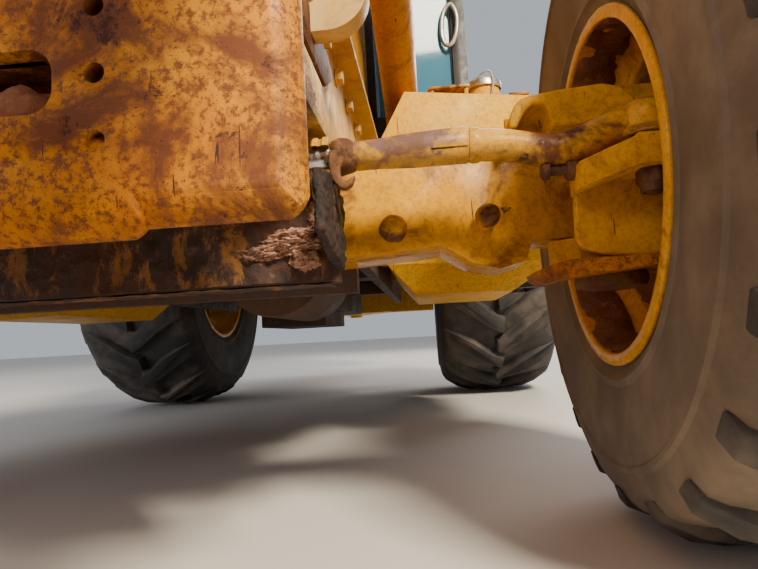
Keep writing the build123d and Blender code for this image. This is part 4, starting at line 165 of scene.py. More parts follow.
def painted_steel(
    name, paint, faded, stain, rust, stain_from=0.55, rust_from=0.66, gloss=0.38, relief=0.25, grain=0.35
):
    """Worn paint: faded patches, brown stains, rust where the paint is gone, specks and scratches."""
    material, tree, shader, coords = new_material(name)
    shader.inputs["Specular IOR Level"].default_value = 0.16
    fade = between(tree, noise(tree, coords, 3.5, 6.0), 0.38, 0.68)
    color = blend_colors(tree, fade, paint, faded)
    dusty = between(tree, noise(tree, coords, 38.0, 4.0, 0.7), 0.45, 0.75, 0.0, 0.35)
    color = blend_colors(tree, dusty, color, stain)
    patch = noise(tree, coords, 9.0, 8.0, 0.68, 0.6)
    stained = between(tree, patch, stain_from, stain_from + 0.16)
    color = blend_colors(tree, stained, color, stain)
    chip = combine(
        tree, "ADD", noise(tree, coords, 26.0, 9.0, 0.75, 0.3), between(tree, patch, 0.3, 0.8, -0.12, 0.12)
    )
    rusty = between(tree, chip, rust_from, rust_from + 0.05)
    color = blend_colors(tree, rusty, color, rust)
    streak = noise(tree, stretched(tree, coords, (90.0, 14.0, 6.0), (0.3, 0.5, 0.2)), 2.2, 3.0, 0.5)
    scratch = between(tree, streak, 0.70, 0.72)
    color = blend_colors(tree, scratch, color, rust)
    mottle = between(tree, noise(tree, coords, 130.0, 5.0, 0.75), 0.46, 0.62, 0.0, grain)
    color = blend_colors(tree, mottle, color, stain)
    specks = between(tree, noise(tree, coords, 420.0, 2.0, 0.5), 0.66, 0.70, 0.0, grain * 1.6)
    color = blend_colors(tree, specks, color, rust)
    tree.links.new(color, shader.inputs["Base Color"])
    rough = combine(
        tree, "ADD",
        between(tree, patch, 0.3, 0.75, gloss - 0.08, gloss + 0.2),
        between(tree, chip, 0.6, 0.75, 0.0, 0.35),
    )
    tree.links.new(rough, shader.inputs["Roughness"])
    fine = noise(tree, coords, 160.0, 4.0, 0.6)
    height = combine(
        tree, "SUBTRACT", combine(tree, "MULTIPLY", fine, relief), combine(tree, "MULTIPLY", rusty, 0.6)
    )
    add_bump(tree, shader, height, strength=0.35, distance=0.002)
    return material


def dirty_and_shaded_below(name, paint, faded, stain, mud, grease, mud_and_shade_top, clean_unshaded_from):
    """Frame paint that is darker below a height, with greasy mud and painted shade there, and stained above
    it.
    """
    material, tree, shader, coords = new_material(name)
    broad = noise(tree, coords, 6.0, 8.0, 0.7, 0.4)
    fine = noise(tree, coords, 45.0, 7.0, 0.7)
    color = blend_colors(tree, between(tree, noise(tree, coords, 3.0), 0.38, 0.66), paint, faded)
    color = blend_colors(tree, between(tree, broad, 0.50, 0.66, 0.0, 0.85), color, stain)
    # Painted shade: the greasy mud below the height also stands in for the shade on the lower frame plate
    grime_and_painted_shade = blend_colors(tree, between(tree, fine, 0.40, 0.62), grease, mud)
    height = combine(tree, "ADD", height_of(tree, coords), between(tree, broad, 0.25, 0.75, 0.09, -0.09))
    low = between(tree, height, mud_and_shade_top, clean_unshaded_from, 1.0, 0.0)
    color = blend_colors(tree, low, color, grime_and_painted_shade)
    tree.links.new(color, shader.inputs["Base Color"])
    tree.links.new(between(tree, fine, 0.35, 0.65, 0.42, 0.85), shader.inputs["Roughness"])
    relief = combine(tree, "MULTIPLY", combine(tree, "ADD", broad, combine(tree, "MULTIPLY", fine, 0.5)), low)
    add_bump(tree, shader, relief, strength=0.8, distance=0.010)
    return material


def caked_dirt(name, dark, red, dry, lumps=0.012, scraped=None):
    """Oily steel under caked red and brown mud, scraped through to old paint in places."""
    material, tree, shader, coords = new_material(name, 0.85)
    broad = noise(tree, coords, 7.0, 8.0, 0.7, 0.5)
    color = blend_colors(tree, between(tree, broad, 0.42, 0.6), dark, red)
    crumbs = noise(tree, coords, 60.0, 8.0, 0.75)
    color = blend_colors(tree, between(tree, crumbs, 0.52, 0.72), color, dry)
    if scraped:
        bare = noise(tree, stretched(tree, coords, (1.0, 1.0, 0.45)), 21.0, 9.0, 0.78, 0.4)
        color = blend_colors(tree, between(tree, bare, 0.52, 0.60, 0.0, 0.85), color, scraped)
    tree.links.new(color, shader.inputs["Base Color"])
    tree.links.new(between(tree, broad, 0.35, 0.65, 0.5, 0.95), shader.inputs["Roughness"])
    height = combine(tree, "ADD", broad, combine(tree, "MULTIPLY", crumbs, 0.5))
    add_bump(tree, shader, height, strength=0.8, distance=lumps)
    return material


def worn_rubber(name, dark, dust, dust_from=0.45, relief=0.004):
    """Tyre rubber with dust in it."""
    material, tree, shader, coords = new_material(name, 0.8)
    broad = noise(tree, coords, 6.0, 8.0, 0.65)
    color = blend_colors(tree, between(tree, broad, dust_from, dust_from + 0.28), dark, dust)
    specks = noise(tree, coords, 130.0, 5.0, 0.7)
    color = blend_colors(tree, between(tree, specks, 0.6, 0.75, 0.0, 0.4), color, dust)
    tree.links.new(color, shader.inputs["Base Color"])
    tree.links.new(between(tree, broad, 0.3, 0.7, 0.62, 0.9), shader.inputs["Roughness"])
    height = combine(
        tree, "ADD", combine(tree, "MULTIPLY", broad, 0.6), combine(tree, "MULTIPLY", specks, 0.4)
    )
    add_bump(tree, shader, height, strength=0.3, distance=relief)
    return material


def bare_metal(name, bright, dull, roughness, metallic=1.0, rust=(0.16, 0.07, 0.03), rust_from=0.62):
    """Plated or polished steel with rust specks."""
    material, tree, shader, coords = new_material(name, roughness, metallic)
    broad = noise(tree, coords, 22.0, 6.0, 0.65)
    color = blend_colors(tree, between(tree, broad, 0.4, 0.65), bright, dull)
    spots = noise(tree, coords, 75.0, 8.0, 0.75)
    rusty = between(tree, spots, rust_from, rust_from + 0.07)
    color = blend_colors(tree, rusty, color, rust)
    tree.links.new(color, shader.inputs["Base Color"])
    tree.links.new(
        between(tree, spots, 0.45, 0.72, roughness, min(0.95, roughness + 0.45)), shader.inputs["Roughness"]
    )
    tree.links.new(
        between(tree, spots, rust_from, rust_from + 0.07, metallic, 0.1), shader.inputs["Metallic"]
    )
    add_bump(tree, shader, spots, strength=0.15, distance=0.001)
    return material


def plain_plastic(name, tone, dust, grain=420.0):
    """Moulded plastic or vinyl with a fine grain and a little dust."""
    material, tree, shader, coords = new_material(name, 0.55)
    broad = noise(tree, coords, 11.0, 5.0, 0.6)
    color = blend_colors(tree, between(tree, broad, 0.45, 0.8, 0.0, 0.6), tone, dust)
    tree.links.new(color, shader.inputs["Base Color"])
    tree.links.new(between(tree, broad, 0.3, 0.7, 0.45, 0.7), shader.inputs["Roughness"])
    add_bump(tree, shader, cells(tree, coords, grain), strength=0.2, distance=0.0008)
    return material


def tinted_glass(name, tint):
    """Blue-green safety glass with dust on it."""
    material, tree, shader, coords = new_material(name, 0.06)
    shader.inputs["Specular IOR Level"].default_value = 0.25
    smear = noise(tree, stretched(tree, coords, (1.0, 1.0, 0.35)), 3.2, 3.0, 0.5)
    color = blend_colors(tree, between(tree, smear, 0.45, 0.75, 0.0, 0.35), tint, (0.22, 0.36, 0.44))
    tree.links.new(color, shader.inputs["Base Color"])
    tree.links.new(between(tree, smear, 0.4, 0.7, 0.05, 0.14), shader.inputs["Roughness"])
    shader.inputs["IOR"].default_value = 1.45
    tree.links.new(between(tree, smear, 0.4, 0.75, 0.70, 0.86), shader.inputs["Alpha"])
    return material


RUST = (0.11, 0.035, 0.015)
STAIN = (0.20, 0.085, 0.022)
# paint, faded paint, stain, rust, where stain and rust start, gloss, relief and grain
yellow = painted_steel(
    "yellow paint", (0.72, 0.345, 0.003), (0.78, 0.40, 0.006), STAIN, RUST, stain_from=0.62, rust_from=0.74,
    gloss=0.46,
)
bumper_paint = painted_steel(
    "bumper paint", (0.50, 0.145, 0.004), (0.62, 0.25, 0.008), (0.16, 0.052, 0.020), (0.055, 0.024, 0.022),
    stain_from=0.46, rust_from=0.60, gloss=0.50, relief=0.6, grain=0.95,
)
axle_paint = painted_steel(
    "axle paint", (0.66, 0.29, 0.003), (0.72, 0.35, 0.006), (0.20, 0.068, 0.012), (0.06, 0.022, 0.010),
    stain_from=0.50, rust_from=0.63, gloss=0.28,
)
linkage_paint = painted_steel(
    "linkage paint", (0.60, 0.27, 0.014), (0.66, 0.34, 0.035), (0.13, 0.045, 0.018), (0.07, 0.025, 0.014),
    stain_from=0.44, rust_from=0.56, gloss=0.33,
)
cylinder_paint = painted_steel(
    "cylinder paint", (0.58, 0.235, 0.009), (0.66, 0.31, 0.022), (0.20, 0.075, 0.02), (0.10, 0.035, 0.018),
    stain_from=0.52, rust_from=0.66, gloss=0.30,
)
sleeve_paint = painted_steel(
    "sleeve paint", (0.62, 0.29, 0.014), (0.66, 0.34, 0.035), (0.17, 0.085, 0.060), (0.19, 0.105, 0.090),
    stain_from=0.40, rust_from=0.50, gloss=0.36,
)
# Frame paint: a dull beige yellow, which is the yellow paint with painted shade in it, darker below a height
# with mud and painted shade
frame_paint_and_shade = dirty_and_shaded_below(
    "frame paint and painted shade", (0.60, 0.33, 0.055), (0.62, 0.40, 0.13), (0.28, 0.12, 0.035), (0.085, 0.032, 0.018),
    (0.030, 0.014, 0.009), mud_and_shade_top=0.47, clean_unshaded_from=0.60,
)
bucket_paint = painted_steel(
    "bucket paint", (0.60, 0.25, 0.012), (0.62, 0.32, 0.04), (0.20, 0.12, 0.07), (0.16, 0.10, 0.07),
    stain_from=0.46, rust_from=0.56, gloss=0.42, relief=0.4, grain=0.6,
)
black_paint = painted_steel(
    "black paint", (0.022, 0.022, 0.024), (0.05, 0.05, 0.05), (0.10, 0.08, 0.06), RUST, stain_from=0.62,
    rust_from=0.75, gloss=0.35,
)
rim_paint = painted_steel(
    "rim paint", (0.62, 0.27, 0.010), (0.70, 0.36, 0.022), (0.28, 0.10, 0.025), (0.16, 0.055, 0.022),
    stain_from=0.56, rust_from=0.70, gloss=0.26,
)
# dark, red and dry mud, size of the lumps, paint that shows through
scraped_dirt = caked_dirt(
    "scraped dirt", (0.030, 0.014, 0.010), (0.075, 0.028, 0.016), (0.15, 0.065, 0.032), lumps=0.012,
    scraped=(0.30, 0.12, 0.018),
)
greasy_dirt = caked_dirt(
    "greasy dirt", (0.016, 0.010, 0.008), (0.040, 0.018, 0.012), (0.10, 0.045, 0.024), lumps=0.012
)
dried_mud = caked_dirt("dried mud", (0.26, 0.13, 0.085), (0.38, 0.20, 0.13), (0.50, 0.30, 0.20), lumps=0.008)
red_mud = caked_dirt("red mud", (0.16, 0.055, 0.028), (0.27, 0.10, 0.045), (0.36, 0.19, 0.10), lumps=0.01)
cast_iron = caked_dirt(
    "cast iron", (0.035, 0.022, 0.018), (0.09, 0.045, 0.025), (0.14, 0.09, 0.06), lumps=0.004
)
rusty = painted_steel(
    "rusty steel", (0.17, 0.075, 0.035), (0.26, 0.12, 0.05), (0.10, 0.04, 0.02), (0.06, 0.025, 0.015),
    stain_from=0.42, rust_from=0.55, gloss=0.6, relief=0.6,
)
tread_rubber = worn_rubber("tread rubber", (0.022, 0.020, 0.019), (0.11, 0.085, 0.068), dust_from=0.42)
side_rubber = worn_rubber(
    "sidewall rubber", (0.105, 0.072, 0.048), (0.20, 0.145, 0.098), dust_from=0.40, relief=0.002
)
hose_rubber = worn_rubber(
    "hose rubber", (0.018, 0.017, 0.017), (0.07, 0.055, 0.045), dust_from=0.5, relief=0.001
)
lamp_glass = bare_metal(
    "lamp glass", (0.75, 0.74, 0.70), (0.60, 0.58, 0.52), roughness=0.12, metallic=0.25,
    rust=(0.4, 0.36, 0.3), rust_from=0.72,
)
amber = plain_plastic("amber lens", (0.62, 0.16, 0.01), (0.45, 0.20, 0.06), grain=700.0)
red_lens = plain_plastic("red lens", (0.42, 0.01, 0.008), (0.30, 0.06, 0.04), grain=700.0)
chrome = bare_metal("chrome rod", (0.62, 0.62, 0.63), (0.40, 0.38, 0.36), roughness=0.16)
zinc = bare_metal(
    "zinc plated steel", (0.55, 0.50, 0.42), (0.34, 0.28, 0.22), roughness=0.35, metallic=0.9, rust_from=0.55
)
worn_bucket = bare_metal(
    "worn bucket steel", (0.36, 0.33, 0.31), (0.22, 0.18, 0.15), roughness=0.42, metallic=0.8, rust_from=0.52
)
black_plastic = plain_plastic("black plastic", (0.02, 0.02, 0.022), (0.09, 0.08, 0.07))
seat_vinyl = plain_plastic("seat vinyl", (0.028, 0.027, 0.027), (0.06, 0.055, 0.05), grain=260.0)
glass = tinted_glass("cab glass", (0.060, 0.20, 0.31))


def clear_selection():
    """Nothing selected and nothing active."""
    if bpy.context.mode != "OBJECT":
        bpy.ops.object.mode_set(mode="OBJECT")
    for item in bpy.context.selected_objects:
        item.select_set(False)


def activate(piece):
    """Only this piece selected, and active."""
    clear_selection()
    piece.select_set(True)
    bpy.context.view_layer.objects.active = piece


def set_material(piece, material):
    piece.data.materials.clear()
    piece.data.materials.append(material)


def finished(piece, name, body, material, edge_angle=35):
    """A piece's last steps: its place goes into its mesh, and it gets its name, body and finish."""
    activate(piece)
    bpy.ops.object.transform_apply(location=True, rotation=True, scale=True)
    bpy.ops.object.shade_smooth_by_angle(angle=math.radians(edge_angle))
    piece.name = name
    set_material(piece, material)
    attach(piece, body)
    return piece


def apply_bevel(piece, width, segments=2, angle=35):
    """Rounded edges."""
    activate(piece)
    modifier = piece.modifiers.new("round", "BEVEL")
    modifier.width = width
    modifier.segments = segments
    modifier.limit_method = "ANGLE"
    modifier.angle_limit = math.radians(angle)
    modifier.harden_normals = False
    bpy.ops.object.modifier_apply(modifier=modifier.name)


def softened(node, body, material, width):
    """A CAD node's own shape with its edges rounded, in place of the node."""
    source = bpy.data.objects[node]
    piece = source.copy()
    piece.data = source.data.copy()
    bpy.context.scene.collection.objects.link(piece)
    activate(piece)
    bpy.ops.object.mode_set(mode="EDIT")
    bpy.ops.mesh.select_all(action="SELECT")
    bpy.ops.mesh.remove_doubles(threshold=0.00002)
    bpy.ops.mesh.dissolve_limited(angle_limit=math.radians(0.5))
    bpy.ops.object.mode_set(mode="OBJECT")
    apply_bevel(piece, width)
    finished(piece, node + ".surface", body, material)
    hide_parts(node)
    return piece


body_of_node = {
    node: body for body, nodes in frame["record"]["behaviour"]["bodies"].items() for node in nodes
}

NODE_MATERIALS = {
    "front_bumper": bumper_paint, "front_axle": axle_paint, "knuckle_left": axle_paint,
    "knuckle_right": axle_paint, "main_frame": frame_paint_and_shade, "fenders": yellow, "steering_cylinder": rusty,
    "steering_rod": chrome, "tie_rod_left": linkage_paint, "tie_rod_right": linkage_paint,
    "driveline": cast_iron, "engine": cast_iron, "loader_towers": yellow, "side_tanks": yellow,
    "lift_barrels": cylinder_paint, "lift_rods": chrome, "tilt_barrels": cylinder_paint, "tilt_rods": chrome,
    "boom_barrel": cylinder_paint, "boom_rod": chrome, "dipper_barrel": cylinder_paint, "dipper_rod": chrome,
    "hoe_barrel": cylinder_paint, "hoe_rod": chrome, "stabilizer_barrel_left": cylinder_paint,
    "stabilizer_rod_left": chrome, "stabilizer_barrel_right": cylinder_paint, "stabilizer_rod_right": chrome,
    "loader_arms": yellow, "loader_bucket": bucket_paint, "hood": yellow, "grille": black_paint,
    "exhaust": black_paint, "cab_frame": black_paint, "cab_roof": yellow, "cab_glass": glass,
    "door_left": black_paint, "door_right": black_paint, "door_glass_left": glass, "door_glass_right": glass,
    "console": black_plastic, "seat_cushion": seat_vinyl, "seat_back": seat_vinyl, "backhoe_frame": yellow,
    "swing_post": yellow, "boom": yellow, "dipper": yellow, "rocker": yellow, "bucket_link": yellow,
    "hoe_bucket": worn_bucket, "stabilizer_left": yellow, "stabilizer_right": yellow,
    "rim_front_left": rim_paint, "rim_front_right": rim_paint, "rim_rear_left": rim_paint,
    "rim_rear_right": rim_paint, "tyre_front_left": side_rubber, "tyre_front_right": side_rubber,
    "tyre_rear_left": tread_rubber, "tyre_rear_right": tread_rubber,
}
for node, material in NODE_MATERIALS.items():
    set_material(bpy.data.objects[node], material)


def vertex_chain(points):
    """A new mesh in edit mode: a line through the points."""
    clear_selection()
    bpy.ops.mesh.primitive_plane_add(size=0.01, location=(0, 0, 0))
    piece = bpy.context.active_object
    bpy.ops.object.mode_set(mode="EDIT")
    bpy.ops.mesh.select_mode(type="VERT")
    bpy.ops.mesh.select_all(action="SELECT")
    bpy.ops.mesh.merge(type="CENTER")
    bpy.ops.transform.translate(value=points[0])
    for here, there in zip(points, points[1:]):
        step = Vector(there) - Vector(here)
        bpy.ops.mesh.extrude_vertices_move(TRANSFORM_OT_translate={"value": step})
    return piece


def lathe(profile, centre, steps=96):
    """A profile of (distance along X, radius) pairs turned about a line along X through centre."""
    points = [(centre.x + along, centre.y, centre.z + radius) for along, radius in profile]
    piece = vertex_chain(points)
    bpy.ops.mesh.select_all(action="SELECT")
    bpy.ops.mesh.spin(steps=steps, angle=2 * math.pi, center=centre, axis=(1, 0, 0))
    bpy.ops.mesh.select_all(action="SELECT")
    bpy.ops.mesh.remove_doubles(threshold=0.00005)
    bpy.ops.mesh.normals_make_consistent(inside=False)
    bpy.ops.object.mode_set(mode="OBJECT")
    return piece


def plate(points, thickness, bevel=0.002, segments=2):
    """A flat outline of 3-D points, thickened along a vector, with its edges rounded."""
    piece = vertex_chain(points)
    bpy.ops.mesh.select_all(action="SELECT")
    bpy.ops.mesh.edge_face_add()
    bpy.ops.mesh.extrude_region_move(TRANSFORM_OT_translate={"value": Vector(thickness)})
    bpy.ops.mesh.select_all(action="SELECT")
    bpy.ops.mesh.normals_make_consistent(inside=False)
    bpy.ops.object.mode_set(mode="OBJECT")
    if bevel:
        apply_bevel(piece, bevel, segments=segments, angle=25)
    return piece


def round_bar(start, end, radius, end_radius=None, sides=40, bevel=0.0015):
    """A round bar or cone between two points, with its ends rounded."""
    start, end = Vector(start), Vector(end)
    clear_selection()
    bpy.ops.mesh.primitive_cone_add(
        vertices=sides,
        radius1=radius,
        radius2=radius if end_radius is None else end_radius,
        depth=(end - start).length,
        location=(start + end) / 2,
        rotation=(end - start).to_track_quat("Z", "Y").to_euler(),
    )
    piece = bpy.context.active_object
    bpy.ops.object.transform_apply(location=True, rotation=True, scale=True)
    if bevel:
        apply_bevel(piece, bevel, segments=2, angle=40)
    return piece


def hexagon(spot, direction, across, height, bevel=0.0012):
    """A bolt head or nut."""
    direction = Vector(direction).normalized()
    return round_bar(spot, Vector(spot) + direction * height, across / math.sqrt(3), sides=6, bevel=bevel)


def joined(pieces):
    """Several pieces as one."""
    clear_selection()
    for piece in pieces:
        piece.select_set(True)
    bpy.context.view_layer.objects.active = pieces[0]
    bpy.ops.object.join()
    return bpy.context.active_object


def copied(piece, matrix):
    """A copy with its own mesh, moved by a matrix."""
    twin = piece.copy()
    twin.data = piece.data.copy()
    bpy.context.scene.collection.objects.link(twin)
    twin.data.transform(matrix)
    return twin


def bent_tube(points, radius, resolution=10, order=3):
    """A tube along a smooth line with the points as its control points, closed at both ends."""
    clear_selection()
    curve = bpy.data.curves.new("route", "CURVE")
    curve.dimensions = "3D"
    curve.bevel_depth = radius
    curve.bevel_resolution = resolution
    curve.use_fill_caps = True
    spline = curve.splines.new("NURBS")
    spline.points.add(len(points) - 1)
    for knot, point in zip(spline.points, points):
        knot.co = (*point, 1.0)
    spline.order_u = order
    spline.use_endpoint_u = True
    spline.resolution_u = 12
    piece = bpy.data.objects.new("route", curve)
    bpy.context.scene.collection.objects.link(piece)
    activate(piece)
    bpy.ops.object.convert(target="MESH")
    return bpy.context.active_object


def crumbled(piece, amount, size=0.03):
    """A surface pushed in and out like dried mud."""
    texture = bpy.data.textures.new("clods", "CLOUDS")
    texture.noise_scale = size
    texture.noise_depth = 4
    modifier = piece.modifiers.new("clods", "DISPLACE")
    modifier.texture = texture
    modifier.texture_coords = "LOCAL"
    modifier.mid_level = 0.5
    modifier.strength = amount
    activate(piece)
    bpy.ops.object.modifier_apply(modifier=modifier.name)
    return piece


def evenly_meshed(piece, size):
    """The same shape in small even faces."""
    activate(piece)
    remesh = piece.modifiers.new("even", "REMESH")
    remesh.mode = "VOXEL"
    remesh.voxel_size = size
    bpy.ops.object.modifier_apply(modifier=remesh.name)
    return piece


def cut(piece, tool, operation="DIFFERENCE"):
    """One piece cut with another, which is used up."""
    modifier = piece.modifiers.new("cut", "BOOLEAN")
    modifier.object = tool
    modifier.operation = operation
    modifier.solver = "EXACT"
    activate(piece)
    bpy.ops.object.modifier_apply(modifier=modifier.name)
    bpy.data.objects.remove(tool)
    return piece


SURFACES = {}


def first_hit(node, start, direction):
    """Where a line from start first meets a CAD node and the facing there, or nothing."""
    if node not in SURFACES:
        source = bpy.data.objects[node]
        corners = [source.matrix_world @ vertex.co for vertex in source.data.vertices]
        SURFACES[node] = BVHTree.FromPolygons(corners, [list(face.vertices) for face in source.data.polygons])
    spot, facing, index, distance = SURFACES[node].ray_cast(Vector(start), Vector(direction).normalized())
    return spot, facing


def surface_of(node, start, direction):
    """Where a line from start meets a CAD node, and which way the surface faces there."""
    spot, facing = first_hit(node, start, direction)
    if spot is None:
        raise ValueError(f"nothing of {node} on the line from {tuple(start)}")
    return spot, facing


def lump(spot, size, pattern_shift, rough=0.35, crumbs=False):
    """A clod of mud: a sphere pushed out of shape."""
    clear_selection()
    bpy.ops.mesh.primitive_ico_sphere_add(subdivisions=5 if crumbs else 4, radius=1.0, location=(0, 0, 0))
    piece = bpy.context.active_object
    texture = bpy.data.textures.new("clod", "CLOUDS")
    texture.noise_scale = 0.45
    texture.noise_depth = 5
    activate(piece)
    bpy.ops.transform.translate(value=(pattern_shift, 0, 0))
    bpy.ops.object.transform_apply(location=True, rotation=False, scale=False)
    modifier = piece.modifiers.new("clods", "DISPLACE")
    modifier.texture = texture
    modifier.texture_coords = "LOCAL"
    modifier.mid_level = 0.5
    modifier.strength = rough * 2
    bpy.ops.object.modifier_apply(modifier=modifier.name)
    if crumbs:
        crumbled(piece, amount=0.55, size=0.12)
    piece.data.transform(Matrix.Translation((-pattern_shift, 0, 0)))
    piece.data.transform(Matrix.Diagonal((*size, 1.0)))
    piece.data.transform(Matrix.Translation(spot))
    return piece


MIRROR = Matrix.Diagonal((-1, 1, 1, 1))
SIDES = ((1, "left"), (-1, "right"))


def flipped(piece):
    """The piece's mirror image on the machine's other side."""
    twin = copied(piece, MIRROR)
    activate(twin)
    bpy.ops.object.mode_set(mode="EDIT")
    bpy.ops.mesh.select_all(action="SELECT")
    bpy.ops.mesh.flip_normals()
    bpy.ops.object.mode_set(mode="OBJECT")
    return twin


# Tyres: a turned carcass with raised rings on its walls, and lugs set round it

def tyre_lug(outline, centre, carcass, height, taper=0.9):
    """One lug: its outline is (across, around) on the carcass, which gives the radius at a place across."""
    points = []
    for across, around in outline:
        radius = carcass(abs(across)) - 0.004
        angle = around / carcass(0)
        around_wheel = Vector((across, -radius * math.sin(angle), radius * math.cos(angle)))
        points.append(tuple(centre + around_wheel))
    piece = vertex_chain(points)
    bpy.ops.mesh.select_all(action="SELECT")
    bpy.ops.mesh.edge_face_add()
    middle_around = sum(around for across, around in outline) / len(outline) / carcass(0)
    outward = Vector((0, -math.sin(middle_around), math.cos(middle_around)))
    bpy.ops.mesh.extrude_region_move(TRANSFORM_OT_translate={"value": outward * (height + 0.004)})
    bpy.ops.transform.resize(value=(taper, taper, 1.0))
    bpy.ops.mesh.select_all(action="SELECT")
    bpy.ops.mesh.normals_make_consistent(inside=False)
    bpy.ops.object.mode_set(mode="OBJECT")
    apply_bevel(piece, 0.004, segments=2, angle=30)
    return piece


def lugged_tyre(node, profile, lug_outline, count, lug_height, carcass, materials):
    """The left tyre of a pair: its carcass, and count lugs on each side of the tread."""
    centre = middle(node)
    wall = lathe(profile, centre)
    set_material(wall, materials[0])
    lug = tyre_lug(lug_outline, centre, carcass, lug_height)
    other = tyre_lug([(-across, around) for across, around in lug_outline], centre, carcass, lug_height)
    pieces = []
    pitch = 2 * math.pi / count
    to_centre = Matrix.Translation(centre)
    from_centre = Matrix.Translation(-centre)
    for index in range(count):
        turn = to_centre @ Matrix.Rotation(index * pitch, 4, "X") @ from_centre
        half_turn = to_centre @ Matrix.Rotation((index + 0.5) * pitch, 4, "X") @ from_centre
        pieces.append(copied(lug, turn))
        pieces.append(copied(other, half_turn))
    for source in (lug, other):
        bpy.data.objects.remove(source)
    lugs = joined(pieces)
    set_material(lugs, materials[1])
    return joined([wall, lugs])


def dressed_tyre(tyre, name, node, body):
    """The finishing of a tyre that keeps its two rubbers."""
    activate(tyre)
    bpy.ops.object.transform_apply(location=True, rotation=True, scale=True)
    bpy.ops.object.shade_smooth_by_angle(angle=math.radians(32))
    tyre.name = name
    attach(tyre, body)
    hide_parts(node)


def spaced(points):
    """A whole profile from its left half."""
    return points + [(-across, radius) for across, radius in reversed(points)]


def carcass_curve(half_width, top, drop):
    """The tread's radius at a place across, falling away to the shoulders."""
    return lambda across: top - drop * (abs(across) / half_width) ** 3


# Half of a wall's profile and one lug's outline, each from the wheel's middle
front_half = [
    (-0.134, 0.243), (-0.136, 0.256), (-0.141, 0.264), (-0.146, 0.268), (-0.1465, 0.274), (-0.144, 0.279),
    (-0.147, 0.292), (-0.1505, 0.312), (-0.153, 0.335), (-0.154, 0.36), (-0.1535, 0.378), (-0.1565, 0.382),
    (-0.1565, 0.388), (-0.152, 0.392), (-0.149, 0.408), (-0.144, 0.424), (-0.134, 0.438), (-0.115, 0.446),
    (-0.09, 0.4505), (-0.05, 0.453), (-0.015, 0.454),
]
front_lug = [
    (-0.012, 0.026), (0.05, -0.004), (0.10, -0.022), (0.148, -0.030),
    (0.150, -0.075), (0.098, -0.066), (0.045, -0.046), (-0.016, -0.014),
]
front_tyre = lugged_tyre(
    "tyre_front_left", spaced(front_half), front_lug, count=22, lug_height=0.021,
    carcass=carcass_curve(half_width=0.157, top=0.454, drop=0.036),
    materials=(side_rubber, tread_rubber),
)
rear_half = [
    (-0.214, 0.322), (-0.216, 0.338), (-0.224, 0.348), (-0.232, 0.353), (-0.234, 0.362), (-0.232, 0.37),
    (-0.241, 0.392), (-0.249, 0.42), (-0.255, 0.455), (-0.257, 0.49), (-0.2565, 0.51), (-0.2595, 0.516),
    (-0.2595, 0.524), (-0.255, 0.53), (-0.25, 0.555), (-0.243, 0.578), (-0.225, 0.597), (-0.19, 0.609),
    (-0.14, 0.615), (-0.08, 0.6185), (-0.025, 0.62),
]
rear_lug = [
    (-0.02, 0.05), (0.05, 0.01), (0.12, -0.045), (0.18, -0.082), (0.245, -0.105),
    (0.248, -0.190), (0.17, -0.162), (0.10, -0.122), (0.035, -0.066), (-0.028, -0.028),
]
rear_tyre = lugged_tyre(
    "tyre_rear_left", spaced(rear_half), rear_lug, count=19, lug_height=0.034,
    carcass=carcass_curve(half_width=0.26, top=0.62, drop=0.062),
    materials=(tread_rubber, tread_rubber),
)
for tyre, axle in ((front_tyre, "front"), (rear_tyre, "rear")):
    twin = flipped(tyre)
    for piece, side in ((tyre, "left"), (twin, "right")):
        dressed_tyre(piece, f"tyre.{axle}.{side}", f"tyre_{axle}_{side}", f"wheel_{axle}_{side}")

# Main pieces, with the edges of their plates and castings rounded

EDGE_ROUNDING = {
    "front_axle": 0.008, "knuckle_left": 0.005, "knuckle_right": 0.005,
    "main_frame": 0.003, "steering_cylinder": 0.003, "side_tanks": 0.007, "loader_arms": 0.005,
    "loader_towers": 0.004, "loader_bucket": 0.003, "hood": 0.004, "grille": 0.004, "cab_roof": 0.012,
    "cab_frame": 0.004, "fenders": 0.003, "boom": 0.006, "dipper": 0.005, "swing_post": 0.006,
    "backhoe_frame": 0.004, "hoe_bucket": 0.003, "rocker": 0.003, "bucket_link": 0.003, "engine": 0.01,
    "driveline": 0.008, "console": 0.006, "stabilizer_left": 0.004, "stabilizer_right": 0.004,
    "rim_front_left": 0.003, "rim_front_right": 0.003, "rim_rear_left": 0.003, "rim_rear_right": 0.003,
    "door_left": 0.004, "door_right": 0.004,
}
for node, width in EDGE_ROUNDING.items():
    softened(node, body_of_node[node], NODE_MATERIALS[node], width)


def place(x, distance, z):
    """A place by its x, its distance ahead of the front axle and its height."""
    return Vector((x, ahead(distance), z))


def across_at(distance, outline):
    """Places for (x, z) pairs, all at one distance ahead of the front axle."""
    return [place(x, distance, z) for x, z in outline]


def both_sides(piece, name, body, material, edge_angle=35):
    """A left piece and its mirror image; body holds a side's name where each side has its own."""
    twin = flipped(piece)
    finished(piece, name + ".left", body.replace("SIDE", "left"), material, edge_angle=edge_angle)
    finished(twin, name + ".right", body.replace("SIDE", "right"), material, edge_angle=edge_angle)


def bolt(spot, direction, across=0.019, height=0.010):
    """A hexagon head on a washer."""
    spot, direction = Vector(spot), Vector(direction).normalized()
    washer = round_bar(spot, spot + direction * 0.0025, across * 0.72, sides=24, bevel=0.0006)
    head = hexagon(spot + direction * 0.002, direction, across=across, height=height)
    return joined([washer, head])


def bolts(spots, direction, across=0.019, height=0.010):
    """A set of bolts that face the same way."""
    first = bolt((0, 0, 0), direction, across=across, height=height)
    pieces = [copied(first, Matrix.Translation(spot)) for spot in spots]
    bpy.data.objects.remove(first)
    return joined(pieces)


